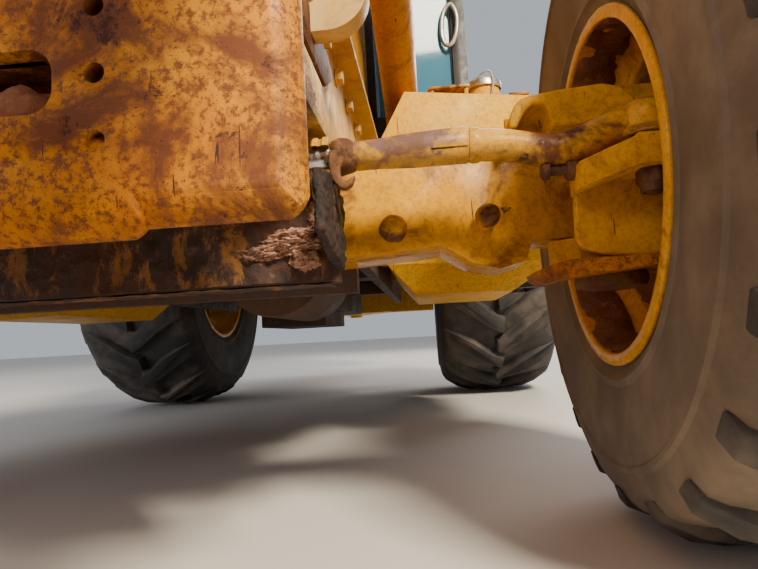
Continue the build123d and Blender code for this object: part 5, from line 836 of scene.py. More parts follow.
def slab(low, high, bevel=0.003, segments=2):
    """A plate or bar between two corners, with its edges rounded."""
    low, high = Vector(low), Vector(high)
    clear_selection()
    bpy.ops.mesh.primitive_cube_add(size=1.0, location=(low + high) / 2)
    piece = bpy.context.active_object
    piece.scale = [abs(value) for value in high - low]
    activate(piece)
    bpy.ops.object.transform_apply(location=True, rotation=True, scale=True)
    if bevel:
        apply_bevel(piece, bevel, segments=segments, angle=25)
    return piece


def turned_about(profile, start, direction, steps=40):
    """A profile of (distance, radius) pairs turned about a line from start."""
    piece = lathe(profile, Vector((0, 0, 0)), steps=steps)
    swing = Vector((1, 0, 0)).rotation_difference(Vector(direction).normalized()).to_matrix().to_4x4()
    piece.data.transform(Matrix.Translation(start) @ swing)
    return piece


def steel_line(points, name, body, radius=0.007):
    """A bent hydraulic line of steel tube with a nut at each end."""
    points = [Vector(point) for point in points]
    tube = bent_tube(points, radius, resolution=4)
    nuts = []
    for first, second in ((points[0], points[1]), (points[-1], points[-2])):
        way = (second - first).normalized()
        nuts.append(hexagon(first - way * 0.004, way, across=radius * 3.2, height=0.022))
        nuts.append(round_bar(first + way * 0.015, first + way * 0.028, radius * 1.35, sides=20))
    finished(tube, name, body, black_paint, edge_angle=60)
    finished(joined(nuts), name + ".nuts", body, zinc)


# Front bumper: a bent face plate with a tow slot and three holes each side, mud in the slot and below


def bend(y, z, radius, start, end, steps=10):
    """Points round a bend as (y, z) pairs; angles in degrees."""
    points = []
    for step in range(steps + 1):
        angle = math.radians(start + (end - start) * step / steps)
        points.append((y + radius * math.cos(angle), z + radius * math.sin(angle)))
    return points


def face_plate(half_width, low, high, front, back, bend_radius, side_radius, corner):
    """A plate bent back at its lower and upper edge and at both sides, with mitred corners."""
    front_y, back_y = ahead(front), ahead(back)
    profile = bend(front_y + bend_radius, low + bend_radius, bend_radius, start=180, end=270)
    profile += [(back_y, low), (back_y, high)]
    profile += bend(front_y + bend_radius, high - bend_radius, bend_radius, start=90, end=180)
    face = plate([(-half_width - 0.01, y, z) for y, z in profile], (2 * half_width + 0.02, 0, 0), 0)
    plan = bend(-half_width + side_radius, front_y + side_radius, side_radius, start=180, end=270)
    plan += bend(half_width - side_radius, front_y + side_radius, side_radius, start=270, end=360)
    plan += [(half_width, back_y), (-half_width, back_y)]
    sides = plate([(x, y, low - 0.01) for x, y in plan], (0, 0, high - low + 0.02), 0)
    cut(face, sides, "INTERSECT")
    outline = bend(
        half_width - corner, low + corner, corner, start=270, end=360
    ) + [(half_width, high), (-half_width, high)]
    outline += bend(-half_width + corner, low + corner, corner, start=180, end=270)
    cut(
        face,
        plate([(x, front_y - 0.01, z) for x, z in outline], (0, back_y - front_y + 0.02, 0), 0),
        "INTERSECT",
    )
    return face


SLOT_HALF_WIDTH, SLOT_LOW, SLOT_HIGH, SLOT_CORNER = 0.188, 0.489, 0.547, 0.022


def through_bar(x, z, radius, sides):
    """A bar that cuts a round hole through the bumper's face."""
    return round_bar((x, ahead(0.45), z), (x, ahead(0.30), z), radius, sides=sides, bevel=0)


face = face_plate(
    half_width=0.4035, low=0.3853, high=0.7407, front=0.4007, back=0.350, bend_radius=0.044,
    side_radius=0.036, corner=0.030,
)
cut(face, slab((-0.5, ahead(0.372), 0.30), (0.5, ahead(0.30), 0.80), 0))
slot_ends = [through_bar(side * (SLOT_HALF_WIDTH - SLOT_CORNER), z, radius=SLOT_CORNER, sides=40)
             for side in (-1, 1) for z in (SLOT_LOW + SLOT_CORNER, SLOT_HIGH - SLOT_CORNER)]
for tool in slot_ends:
    cut(face, tool)
for inset, rise in ((SLOT_CORNER, 0), (0, SLOT_CORNER)):
    cut(face, slab((inset - SLOT_HALF_WIDTH, ahead(0.45), SLOT_LOW + rise),
                   (SLOT_HALF_WIDTH - inset, ahead(0.30), SLOT_HIGH - rise), 0))
for side in (-1, 1):
    for z in (0.461, 0.521, 0.581):
        cut(face, through_bar(side * 0.226, z, radius=0.0092, sides=32))
apply_bevel(face, 0.0022, segments=2, angle=40)
finished(face, "bumper.face", "chassis", bumper_paint, edge_angle=30)
bumper_back_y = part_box("front_bumper")[1].y
bumper_block = slab((-0.330, ahead(0.380), 0.430), (0.330, bumper_back_y, 0.740), 0.006)
cut(
    bumper_block,
    slab((-SLOT_HALF_WIDTH, ahead(0.45), SLOT_LOW), (SLOT_HALF_WIDTH, ahead(0.31), SLOT_HIGH), 0),
)
finished(bumper_block, "bumper.block", "chassis", bumper_paint, edge_angle=30)
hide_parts("front_bumper")
lip = face_plate(
    half_width=0.262, low=0.3785, high=0.48, front=0.4003, back=0.350, bend_radius=0.036, side_radius=0.012,
    corner=0.022,
)
cut(lip, slab((-0.5, ahead(0.372), 0.30), (0.5, ahead(0.30), 0.80), 0))
apply_bevel(lip, 0.004, segments=2, angle=40)
finished(lip, "bumper.lip", "chassis", bumper_paint, edge_angle=30)
# x, distance ahead, z, size and shift of the pattern
SLOT_CLODS = (
    (-0.150, 0.372, 0.497, (0.040, 0.024, 0.026), 1.0),
    (-0.080, 0.368, 0.501, (0.055, 0.024, 0.027), 2.3),
    (0.000, 0.372, 0.500, (0.055, 0.022, 0.026), 3.9),
    (0.075, 0.368, 0.502, (0.052, 0.024, 0.028), 5.2),
    (0.140, 0.372, 0.498, (0.044, 0.022, 0.026), 6.4),
)
slot_mud = joined([lump(place(x, distance, z), size, shift) for x, distance, z, size, shift in SLOT_CLODS])
finished(slot_mud, "bumper.slot_mud", "chassis", red_mud, edge_angle=60)


def crusted_strip(points, width, amount, size):
    """A strip of crusted mud: a line of points widened along a vector and crumbled."""
    piece = vertex_chain(points)
    bpy.ops.mesh.select_all(action="SELECT")
    bpy.ops.mesh.extrude_edges_move(TRANSFORM_OT_translate={"value": Vector(width)})
    bpy.ops.mesh.select_all(action="SELECT")
    bpy.ops.mesh.subdivide(number_cuts=5)
    bpy.ops.mesh.subdivide(number_cuts=3)
    bpy.ops.object.mode_set(mode="OBJECT")
    return crumbled(piece, amount=amount, size=size)


CRUST_X = (-0.375, -0.28, -0.18, -0.08, 0.02, 0.12, 0.22, 0.30, 0.375)
carrier_crust = joined([
    crusted_strip([place(x, 0.1205, 0.3600) for x in CRUST_X], (0, 0, 0.10), amount=0.011, size=0.022),
    crusted_strip([place(x, 0.06, 0.3560) for x in CRUST_X], (0, -0.055, 0), amount=0.005, size=0.02),
])
finished(carrier_crust, "carrier.crust", "chassis", scraped_dirt, edge_angle=60)
CARRIER_CLODS = (
    (0.335, 0.116, 0.412, (0.044, 0.024, 0.018), 7.1),
    (0.368, 0.110, 0.440, (0.022, 0.022, 0.028), 8.4),
    (0.290, 0.112, 0.400, (0.032, 0.020, 0.011), 9.6),
    (0.345, 0.118, 0.388, (0.020, 0.018, 0.016), 11.2),
)
mud_below = joined([lump(place(x, distance, z), size, shift, rough=0.45, crumbs=True)
                    for x, distance, z, size, shift in CARRIER_CLODS])
finished(mud_below, "carrier.mud", "chassis", dried_mud, edge_angle=60)
muddy_bracket = plate(
    [place(0.394, distance, z) for distance, z in (
        (0.250, 0.470), (0.252, 0.400), (0.215, 0.385), (0.100, 0.372), (0.100, 0.470), (0.160, 0.478))],
    (-0.012, 0, 0), 0.003)
muddy_bracket = crumbled(evenly_meshed(muddy_bracket, 0.003), amount=0.011, size=0.012)
both_sides(muddy_bracket, "nose.bracket", "chassis", greasy_dirt, edge_angle=60)

# Steering: each tie rod with its ball socket, tapered sleeve, bent tube and eye

TIE_AHEAD = 0.165
EYE_X = 0.768
tie_y = ahead(TIE_AHEAD)
left_end = Vector((0.417, tie_y, 0.5045))
right_end = Vector((0.556, tie_y, 0.5080))
length = (right_end - left_end).length
sleeve = turned_about(
    [(0, 0), (0, 0.0160), (0.004, 0.0178), (0.030, 0.0182), (length * 0.55, 0.0212), (length - 0.002, 0.0222),
     (length, 0.0208), (length, 0.014), (length - 0.01, 0)],
    left_end, right_end - left_end, steps=48)
cut(sleeve, slab((0.512, tie_y - 0.03, 0.4990), (0.58, tie_y + 0.03, 0.5012), 0))
tube_route = (
    (0.54, 0.5070), (0.575, 0.5066), (0.612, 0.5030), (0.645, 0.4925), (0.675, 0.4935), (0.700, 0.5030),
    (0.722, 0.5140), (0.750, 0.5200),
)
tube = bent_tube(across_at(TIE_AHEAD, tube_route), 0.0192, resolution=8, order=4)
collar = turned_about(
    [(0, 0.012), (0, 0.0204), (0.002, 0.0212), (0.010, 0.0212), (0.012, 0.0200), (0.012, 0.012)],
    (0.558, tie_y, 0.5070), (1, 0, -0.05), steps=48,
)
eye = turned_about(
    [
        (0, 0.024), (0, 0.0350), (0.003, 0.0368), (0.007, 0.0360), (0.010, 0.0338), (0.028, 0.0332),
        (0.036, 0.0305), (0.042, 0.022), (0.0432, 0.0),
    ],
    (EYE_X, tie_y, 0.4995), (0, 0, 1), steps=56,
)
both_sides(sleeve, "tie_rod.sleeve", "tie_rod_SIDE", sleeve_paint, edge_angle=40)
tie_rod = joined([tube, collar, eye])
tie_rod_twin = flipped(tie_rod)
for piece, label in ((tie_rod, "left"), (tie_rod_twin, "right")):
    finished(piece, "tie_rod.bar." + label, "tie_rod_" + label, linkage_paint, edge_angle=40)
    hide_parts("tie_rod_" + label)
ball_cup = turned_about(
    [
        (0, 0.0125), (0, 0.0150), (0.002, 0.0205), (0.010, 0.0225), (0.020, 0.0215), (0.026, 0.0190),
        (0.030, 0.0165), (0.030, 0),
    ],
    (0.3915, tie_y, 0.5050), (1, 0, 0), steps=40,
)
torn_outline = (
    (0.3905, 0.508), (0.3900, 0.488), (0.3935, 0.472), (0.4010, 0.4615), (0.4090, 0.4590), (0.4170, 0.4640),
    (0.4215, 0.4760), (0.4150, 0.4730), (0.4090, 0.4690), (0.4035, 0.4760), (0.4030, 0.4850),
    (0.4085, 0.4930), (0.4120, 0.508),
)
torn_boot = plate(across_at(TIE_AHEAD + 0.023, torn_outline), (0, 0.014, 0), 0.003, segments=3)
crumbled(ball_cup, amount=0.004, size=0.012)
both_sides(joined([ball_cup, torn_boot]), "tie_rod.cup", "tie_rod_SIDE", rusty, edge_angle=60)
rod_end = round_bar((0.352, tie_y, 0.5072), (0.396, tie_y, 0.5056), 0.0150, sides=40)
both_sides(rod_end, "tie_rod.rod_end", "tie_rod_SIDE", chrome)
lock_ring = turned_about(
    [
        (0, 0.0155), (0, 0.0215), (0.002, 0.0235), (0.006, 0.0235), (0.008, 0.0215), (0.012, 0.0215),
        (0.014, 0.0240), (0.019, 0.0240), (0.021, 0.0220), (0.021, 0.0155),
    ],
    (0.3690, tie_y, 0.5070), (1, 0, 0), steps=36,
)
cut(lock_ring, slab((0.36, tie_y - 0.04, 0.47), (0.40, tie_y + 0.04, 0.5145), 0))
both_sides(lock_ring, "tie_rod.lock_ring", "tie_rod_SIDE", linkage_paint)
dust_boot = turned_about(
    [
        (0, 0.0115), (0, 0.0235), (0.0012, 0.0250), (0.0025, 0.0235), (0.004, 0.0260), (0.0055, 0.0245),
        (0.006, 0.0115),
    ],
    (EYE_X, tie_y, 0.4972), (0, 0, 1), steps=40,
)
both_sides(dust_boot, "knuckle.dust_boot", "knuckle_SIDE", hose_rubber)
castle = [hexagon((EYE_X, tie_y, 0.4615), (0, 0, -1), across=0.034, height=0.017, bevel=0.0015)]
castle.append(turned_about([(0, 0.016), (0.009, 0.0155), (0.010, 0.0145), (0.010, 0.0112), (0, 0.0112)],
                           (EYE_X, tie_y, 0.4447), (0, 0, -1), steps=24))
castle.append(
    round_bar((EYE_X, tie_y - 0.019, 0.4400), (EYE_X, tie_y + 0.019, 0.4400), 0.0016, sides=10, bevel=0)
)
castle.append(round_bar((EYE_X, tie_y, 0.444), (EYE_X, tie_y, 0.4325), 0.0105, end_radius=0.0095, sides=24))
both_sides(joined(castle), "knuckle.castle_nut", "knuckle_SIDE", rusty)
stop_z = 0.4680
stop_bolt = [
    round_bar((0.648, tie_y, stop_z), (0.700, tie_y, stop_z), 0.0060, sides=24),
    turned_about([(0, 0), (0, 0.0070), (0.002, 0.0095), (0.006, 0.0105), (0.0095, 0.0105), (0.011, 0.006)],
                 (0.6400, tie_y, stop_z), (1, 0, 0), steps=28),
    hexagon((0.6690, tie_y, stop_z), (1, 0, 0), across=0.023, height=0.013),
]
both_sides(joined(stop_bolt), "knuckle.stop_bolt", "knuckle_SIDE", rusty)

# Knuckle: cast upper arm with an arched hollow, the rounded web under the steering arm and the lower tongue

arm_outline = (
    (0.617, 0.546), (0.619, 0.560), (0.626, 0.577), (0.634, 0.586), (0.648, 0.590), (0.690, 0.595),
    (0.741, 0.598), (0.764, 0.592), (0.779, 0.577), (0.785, 0.562), (0.740, 0.546), (0.672, 0.5460),
    (0.6685, 0.569), (0.661, 0.5745), (0.650, 0.5750), (0.641, 0.570), (0.633, 0.558), (0.628, 0.5465),
)
upper_arm = plate(across_at(0.10, arm_outline), (0, 0.075, 0), 0.005, segments=3)
upper_arm = joined([upper_arm, slab((0.622, ahead(0.030), 0.546), (0.690, ahead(0.022), 0.586), 0.003)])
both_sides(upper_arm, "knuckle.upper_arm", "knuckle_SIDE", yellow)
web_outline = (
    (0.6875, 0.452), (0.685, 0.389), (0.692, 0.378), (0.720, 0.370), (0.760, 0.365), (0.815, 0.369),
    (0.840, 0.380), (0.850, 0.400), (0.850, 0.466), (0.700, 0.466),
)
web = plate(across_at(0.122, web_outline), (0, 0.013, 0), 0.005, segments=4)
web_rib = slab((0.752, ahead(0.112), 0.372), (0.846, ahead(0.070), 0.466), 0.008, segments=3)
both_sides(joined([web, web_rib]), "knuckle.web", "knuckle_SIDE", axle_paint)
tongue_outline = (
    (0.629, 0.352), (0.632, 0.343), (0.642, 0.338), (0.690, 0.346), (0.800, 0.356), (0.846, 0.366),
    (0.846, 0.3665), (0.700, 0.3665), (0.676, 0.3660), (0.655, 0.3620),
)
tongue = plate(across_at(0.128, tongue_outline), (0, 0.052, 0), 0.004, segments=3)
both_sides(tongue, "knuckle.tongue", "knuckle_SIDE", bumper_paint)
low_boss = turned_about(
    [(0, 0.046), (0.006, 0.050), (0.016, 0.050), (0.022, 0.046), (0.026, 0.030), (0.026, 0)],
    (0.760, FRONT_AXLE_Y, 0.359), (0, 0, -1), steps=48)
top_cap = turned_about(
    [(0, 0.052), (0.008, 0.052), (0.014, 0.046), (0.018, 0.030), (0.019, 0)],
    (0.760, FRONT_AXLE_Y, 0.599), (0, 0, 1), steps=48)
knuckle_caps = joined(
    [
        low_boss, top_cap,
        round_bar(place(0.742, 0.02, 0.610), place(0.742, 0.02, 0.628), 0.004, end_radius=0.003, sides=16),
    ]
)
both_sides(knuckle_caps, "knuckle.caps", "knuckle_SIDE", rusty)
gland_nuts = joined([
    turned_about([(0, 0.0172), (0, 0.030), (0.003, 0.033), (0.019, 0.033), (0.022, 0.030), (0.022, 0.0172)],
                 (side * 0.2355, tie_y, 0.508), (side, 0, 0), steps=6) for side in (-1, 1)
])
finished(gland_nuts, "steering_cylinder.glands", "chassis", rusty)
for side, label in SIDES:
    steel_line(
        [
            place(side * x, distance, z)
            for x, distance, z in (
                (0.19, TIE_AHEAD, 0.538), (0.19, 0.16, 0.60), (0.21, 0.09, 0.66), (0.30, 0.06, 0.685),
                (0.325, -0.03, 0.68), (0.325, -0.30, 0.67), (0.325, -0.52, 0.67),
            )
        ],
        "steering_line." + label, "chassis",
    )
beam_plugs = [
    crumbled(
        turned_about(
            [
                (0, radius * 1.1), (0.004, radius * 1.12), (0.008, radius), (0.016, radius * 0.92),
                (0.019, radius * 0.7), (0.019, 0),
            ],
            place(x, 0.0775, z), (0, -1, 0), steps=28,
        ),
        amount=0.005, size=0.01,
    )
    for x, z, radius in ((0.457, 0.428, 0.017), (0.584, 0.4370, 0.0150))
]
both_sides(joined(beam_plugs), "axle.plugs", "chassis", linkage_paint, edge_angle=60)

# Wheels: hub caps, wheel nuts and the mud that is caked round the inside of the rims


def wheel_hardware(wheel, radius, count, outer_x, inner_x, cap_radius, nut_across):
    """The nuts and cap outside a left wheel's disc and the bolt ends behind it."""
    centre = middle("tyre_" + wheel)
    pieces = []
    for index in range(count):
        angle = 2 * math.pi * index / count
        around = Vector((0, math.sin(angle) * radius, math.cos(angle) * radius))
        pieces.append(
            bolt(
                centre + around + Vector((outer_x, 0, 0)), (1, 0, 0), across=nut_across,
                height=nut_across * 0.8,
            )
        )
        pieces.append(
            round_bar(
                centre + around + Vector((inner_x, 0, 0)),
                centre + around + Vector((inner_x - 0.012, 0, 0)),
                nut_across * 0.33, sides=16,
            )
        )
    pieces.append(
        turned_about(
            [
                (0, cap_radius), (0.03, cap_radius * 0.96), (0.042, cap_radius * 0.82),
                (0.048, cap_radius * 0.4), (0.049, 0),
            ],
            centre + Vector((outer_x, 0, 0)), (1, 0, 0), steps=48,
        )
    )
    return joined(pieces)


front_nuts = wheel_hardware(
    "front_left", radius=0.062, count=6, outer_x=0.0465, inner_x=0.0245, cap_radius=0.045, nut_across=0.022
)
both_sides(front_nuts, "front_wheel.nuts", "wheel_front_SIDE", rusty)
rear_nuts = wheel_hardware(
    "rear_left", radius=0.092, count=8, outer_x=0.0365, inner_x=0.0145, cap_radius=0.072, nut_across=0.027
)
both_sides(rear_nuts, "rear_wheel.nuts", "wheel_rear_SIDE", rusty)


def mud_ring(centre, profile, amount, size):
    """Mud caked round the inside of a rim, thick in places and thin in others."""
    return crumbled(lathe(profile, centre, steps=220), amount=amount, size=size)


front_mud = joined(
    [
        mud_ring(
            FRONT_WHEEL,
            [
                (-0.138, 0.2320), (-0.128, 0.2290), (-0.118, 0.2270), (-0.108, 0.2260), (-0.098, 0.2260),
                (-0.088, 0.2270), (-0.078, 0.2290), (-0.070, 0.2320),
            ],
            amount=0.030, size=0.045,
        ),
        mud_ring(
            FRONT_WHEEL,
            [
                (-0.046, 0.2080), (-0.036, 0.2000), (-0.024, 0.1960), (-0.010, 0.1930), (0.004, 0.1900),
                (0.014, 0.1820), (0.020, 0.1700), (0.024, 0.1560), (0.027, 0.1400), (0.029, 0.1250),
            ],
            amount=0.040, size=0.05,
        ),
    ]
)
both_sides(front_mud, "front_wheel.mud", "wheel_front_SIDE", red_mud, edge_angle=60)
rear_mud = mud_ring(
    REAR_WHEEL,
    [
        (-0.060, 0.2850), (-0.045, 0.2800), (-0.025, 0.2760), (-0.005, 0.2700), (0.008, 0.2600),
        (0.014, 0.2450), (0.018, 0.2300),
    ],
    amount=0.030, size=0.05,
)
both_sides(rear_mud, "rear_wheel.mud", "wheel_rear_SIDE", red_mud, edge_angle=60)

# Frame: bolts along the sill, the left tank's filler and step plates, and the step below it

FRAME_SIDE_X = 0.3725
sill_bolts = bolts(
    [place(FRAME_SIDE_X, distance, 0.70) for distance in (0.20, 0.08, -0.04, -0.16, -0.28, -0.40)],
    (1, 0, 0), across=0.020, height=0.010,
)
both_sides(sill_bolts, "frame.bolts", "chassis", frame_paint_and_shade)
side_plate = plate(
    [place(FRAME_SIDE_X, distance, z) for distance, z in (
        (0.245, 0.625), (0.10, 0.625), (0.03, 0.665), (0.10, 0.68), (0.245, 0.685))], (0.006, 0, 0), 0.002)
both_sides(side_plate, "frame.side_plate", "chassis", rusty)
filler_neck = turned_about(
    [(0, 0.041), (0.004, 0.040), (0.052, 0.040), (0.052, 0)],
    (0.684, ahead(-0.70), 0.884), (0, 0, 1), steps=48,
)
finished(filler_neck, "tank.filler_neck", "chassis", yellow)
filler_cap = [
    turned_about(
        [
            (0, 0.044), (0.002, 0.0455), (0.018, 0.0455), (0.021, 0.0435), (0.021, 0.034), (0.024, 0.033),
            (0.024, 0),
        ],
        (0.684, ahead(-0.70), 0.932), (0, 0, 1), steps=48,
    )
]
filler_cap.append(
    bent_tube(
        [
            (0.655, ahead(-0.655), 0.945), (0.690, ahead(-0.650), 0.975), (0.705, ahead(-0.655), 0.950),
            (0.700, ahead(-0.652), 0.905), (0.690, ahead(-0.655), 0.890),
        ],
        0.0025, resolution=3,
    )
)
finished(joined(filler_cap), "tank.filler_cap", "chassis", zinc)
step_plates = []
for x, width, distance, z in ((0.531, 0.106, -0.605, 0.909), (0.745, 0.053, -0.670, 0.902)):
    step_plates.append(slab(place(x, distance, z), place(x + width, distance - 0.06, z + 0.008), 0.002))
    for foot in (0.004, width - 0.014):
        step_plates.append(
            slab(
                place(x + foot, distance - 0.004, 0.884),
                place(x + foot + 0.010, distance - 0.056, z + 0.001),
                0.001,
            )
        )
both_sides(joined(step_plates), "tank.step_plates", "chassis", linkage_paint)
step_frame = joined(
    [
        slab((0.70, ahead(-1.01), 0.398), (0.826, ahead(-0.985), 0.412), 0.003),
        slab((0.70, ahead(-0.80), 0.398), (0.826, ahead(-0.775), 0.412), 0.003),
        slab((0.800, ahead(-1.01), 0.396), (0.826, ahead(-0.775), 0.414), 0.003),
    ] + [
        round_bar(
            (0.715 + 0.028 * index, ahead(-0.79), 0.405), (0.715 + 0.028 * index, ahead(-1.0), 0.405), 0.004,
            sides=12,
        )
        for index in range(3)
    ]
)
both_sides(step_frame, "tank.step", "chassis", black_paint)

# Hood: louvres, latches, grille bars and lamps

louvres = []
for row in range(9):
    spot, facing = surface_of("hood", (1.0, -1.12, 1.00 + 0.030 * row), (-1, 0, 0))
    louvres.append(
        plate(
            [
                (spot.x - 0.002, -1.27, spot.z), (spot.x + 0.009, -1.262, spot.z - 0.004),
                (spot.x + 0.010, -0.978, spot.z - 0.004), (spot.x - 0.002, -0.97, spot.z),
            ],
            (-0.003, 0, 0.012), 0.002,
        )
    )
both_sides(joined(louvres), "hood.louvres", "hood", yellow)
latches = []
for y in (-1.30, -0.36):
    spot, facing = surface_of("hood", (1.0, y, 0.95), (-1, 0, 0))
    latches.append(slab(spot + Vector((-0.001, -0.022, -0.03)), spot + Vector((0.006, 0.022, 0.035)), 0.002))
    latches.append(
        round_bar(spot + Vector((0.004, 0, 0.02)), spot + Vector((0.012, 0, 0.02)), 0.009, sides=24)
    )
    latches.append(slab(spot + Vector((0.010, -0.006, -0.035)), spot + Vector((0.015, 0.006, 0.028)), 0.002))
both_sides(joined(latches), "hood.latches", "hood", black_paint)
grille_bars = [round_bar((x, -1.478, 0.832), (x, -1.478, 1.148), 0.0028, sides=10, bevel=0)
               for x in [-0.27 + 0.03 * index for index in range(19)]]
grille_bars += [round_bar((-0.283, -1.473, z), (0.283, -1.473, z), 0.0024, sides=10, bevel=0)
                for z in [0.845 + 0.025 * index for index in range(13)]]
finished(joined(grille_bars), "grille.bars", "hood", black_paint)


def lamp(spot, facing, width, height, depth, name, body, lens=None):
    """A rectangular lamp: a rounded housing, a rim and a lens."""
    facing = Vector(facing).normalized()
    swing = Vector((0, -1, 0)).rotation_difference(facing).to_matrix().to_4x4()
    to_place = Matrix.Translation(spot) @ swing
    housing = slab((-width / 2, -depth, -height / 2), (width / 2, 0, height / 2), 0.008, segments=3)

    def layer(inset, front, back, bevel, segments=2):
        side, top = width / 2 - inset, height / 2 - inset
        return slab((-side, -depth - front, -top), (side, -depth + back, top), bevel, segments=segments)

    rim = layer(-0.004, 0.004, 0.008, 0.005, 3)
    cut(rim, layer(0.008, 0.02, 0.004, 0.003))
    face = layer(0.007, 0.001, 0.006, 0.002)
    for piece in (housing, rim, face):
        piece.data.transform(to_place)
    finished(joined([housing, rim]), name + ".housing", body, black_plastic)
    finished(face, name + ".lens", body, lens or lamp_glass)


for side, label in SIDES:
    spot, facing = surface_of("grille", (side * 0.185, -1.9, 1.225), (0, 1, 0))
    lamp(
        spot + Vector((0, 0.004, 0)), (0, -1, 0), width=0.15, height=0.085, depth=0.022,
        name="headlamp." + label, body="hood",
    )

# Exhaust: rain cap, clamps and muffler

pipe_x, pipe_y = -0.3755, -0.60
rain_cap = [
    turned_about(
        [(0, 0.034), (0.003, 0.035), (0.005, 0.034), (0.005, 0)],
        (pipe_x, pipe_y - 0.002, 2.252), (0, -0.30, 1), steps=32,
    )
]
rain_cap.append(slab((pipe_x - 0.006, pipe_y + 0.025, 2.235), (pipe_x + 0.006, pipe_y + 0.055, 2.262), 0.002))
rain_cap.append(
    round_bar(
        (pipe_x - 0.014, pipe_y + 0.036, 2.252), (pipe_x + 0.014, pipe_y + 0.036, 2.252), 0.004, sides=16
    )
)
for z in (1.45, 1.62, 2.22):
    rain_cap.append(
        turned_about(
            [(0, 0.0295), (0, 0.0325), (0.018, 0.0325), (0.018, 0.0295)],
            (pipe_x, pipe_y, z), (0, 0, 1), steps=32,
        )
    )
    rain_cap.append(bolt((pipe_x - 0.012, pipe_y - 0.036, z + 0.009), (1, 0, 0), across=0.012, height=0.006))
finished(joined(rain_cap), "exhaust.rain_cap", "chassis", rusty)
muffler = turned_about(
    [(0, 0.032), (0.012, 0.052), (0.02, 0.056), (0.43, 0.056), (0.438, 0.052), (0.45, 0.032)],
    (pipe_x, pipe_y, 0.95), (0, 0, 1), steps=48,
)
finished(muffler, "exhaust.muffler", "chassis", rusty)

# Pins: a head with a keeper bolt and a grease nipple on each pivot


def pin_head(spot, facing, radius):
    """The end of a pivot pin with its keeper bolt and grease nipple."""
    spot, facing = Vector(spot), Vector(facing).normalized()
    head = turned_about(
        [
            (0, radius), (0.006, radius), (0.008, radius * 0.94), (0.008, radius * 0.5),
            (0.006, radius * 0.42), (0.006, 0),
        ],
        spot, facing, steps=40,
    )
    sideways = facing.cross(Vector((0, 0, 1))).normalized()
    keeper = bolt(
        spot + sideways * radius * 1.02 + Vector((0, 0, radius * 0.1)), facing, across=0.016, height=0.010
    )
    nipple = round_bar(
        spot + facing * 0.005, spot + facing * 0.018, 0.005, end_radius=0.003, sides=16, bevel=0
    )
    return joined([head, keeper, nipple])


def pins_on(node, places, radius, name, body, start_x=1.3):
    """Pin heads on the outer faces of a node, left and right."""
    heads = []
    for y, z in places:
        reach = []
        for step_y, step_z in ((0, 1), (1, 0), (-1, 0), (0, -1)):
            start = Vector((start_x, y + step_y * radius * 0.95, z + step_z * radius * 0.95))
            spot, facing = first_hit(node, start, (-1, 0, 0))
            if spot is not None:
                reach.append(spot.x)
        heads.append(pin_head((max(reach), y, z), (1, 0, 0), radius))
    both_sides(joined(heads), name, body, zinc)


pins_on(
    "loader_arms",
    [(ahead(0.64), 1.50), (ahead(0.17), 1.17), (ahead(1.25), 0.22)],
    0.030, "arms.pins", "loader_arms", start_x=0.70,
)
pins_on("loader_bucket", [(ahead(1.27), 0.59)], 0.026, "bucket.pins", "loader_bucket", start_x=0.60)
pins_on("loader_towers", [(-0.31, 1.50)], 0.036, "towers.pins", "chassis")
pins_on("boom", [(2.235, 0.60)], 0.034, "boom.foot_pins", "boom")
pins_on("boom", [(2.534, 3.032)], 0.032, "boom.top_pins", "boom")
pins_on("dipper", [(3.0435, 1.4625)], 0.028, "dipper.pins", "dipper")

# Steel lines along the arms, the boom and the dipper, held by clamps


def line_on(node, starts, direction, radius, clearance=0.004):
    """Places for a tube that lies along a node's surface."""
    places = []
    for start in starts:
        spot, facing = surface_of(node, start, direction)
        places.append(spot - Vector(direction).normalized() * (radius + clearance))
    return places


def clamped_lines(node, body, name, starts, direction, offsets, radius, clamp_at):
    """Parallel steel lines along a node, with a clamp block at some of the places."""
    tubes = []
    for offset in offsets:
        shift = Vector(offset)
        tubes.append(
            bent_tube(
                [spot + shift for spot in line_on(node, starts, direction, radius)],
                radius, resolution=4, order=3,
            )
        )
    blocks = []
    across = Vector(offsets[-1]) - Vector(offsets[0])
    centres = line_on(node, starts, direction, radius)
    for index in clamp_at:
        spot = centres[index] + (Vector(offsets[0]) + Vector(offsets[-1])) / 2
        half = Vector([abs(value) / 2 + radius * 1.9 for value in across])
        blocks.append(slab(spot - half, spot + half, 0.003))
        head_offset = half.z if abs(direction[2]) > 0.5 else half.y
        outward = -Vector(direction).normalized()
        blocks.append(hexagon(spot + outward * head_offset, outward, across=0.016, height=0.008))
    finished(joined(tubes), name, body, black_paint, edge_angle=60)
    finished(joined(blocks), name + ".clamps", body, zinc)


arm_run = [(0.457, y, 2.2) for y in (-0.55, -0.75, -0.95, -1.15, -1.35, -1.50)]
for side, label in SIDES:
    clamped_lines(
        "loader_arms", "loader_arms", "arms.lines." + label, [(side * x, y, z) for x, y, z in arm_run],
        (0, 0, -1), offsets=[(-0.020, 0, 0), (0.0, 0, 0), (0.020, 0, 0)], radius=0.007, clamp_at=(1, 3),
    )
boom_run = [(0.0, 1.2, z) for z in (1.20, 1.45, 1.70, 1.95, 2.15)]
clamped_lines("boom", "boom", "boom.lines", boom_run, (0, 1, 0),
              offsets=[(-0.066, 0, 0), (-0.050, 0, 0)], radius=0.0055, clamp_at=(1, 3))

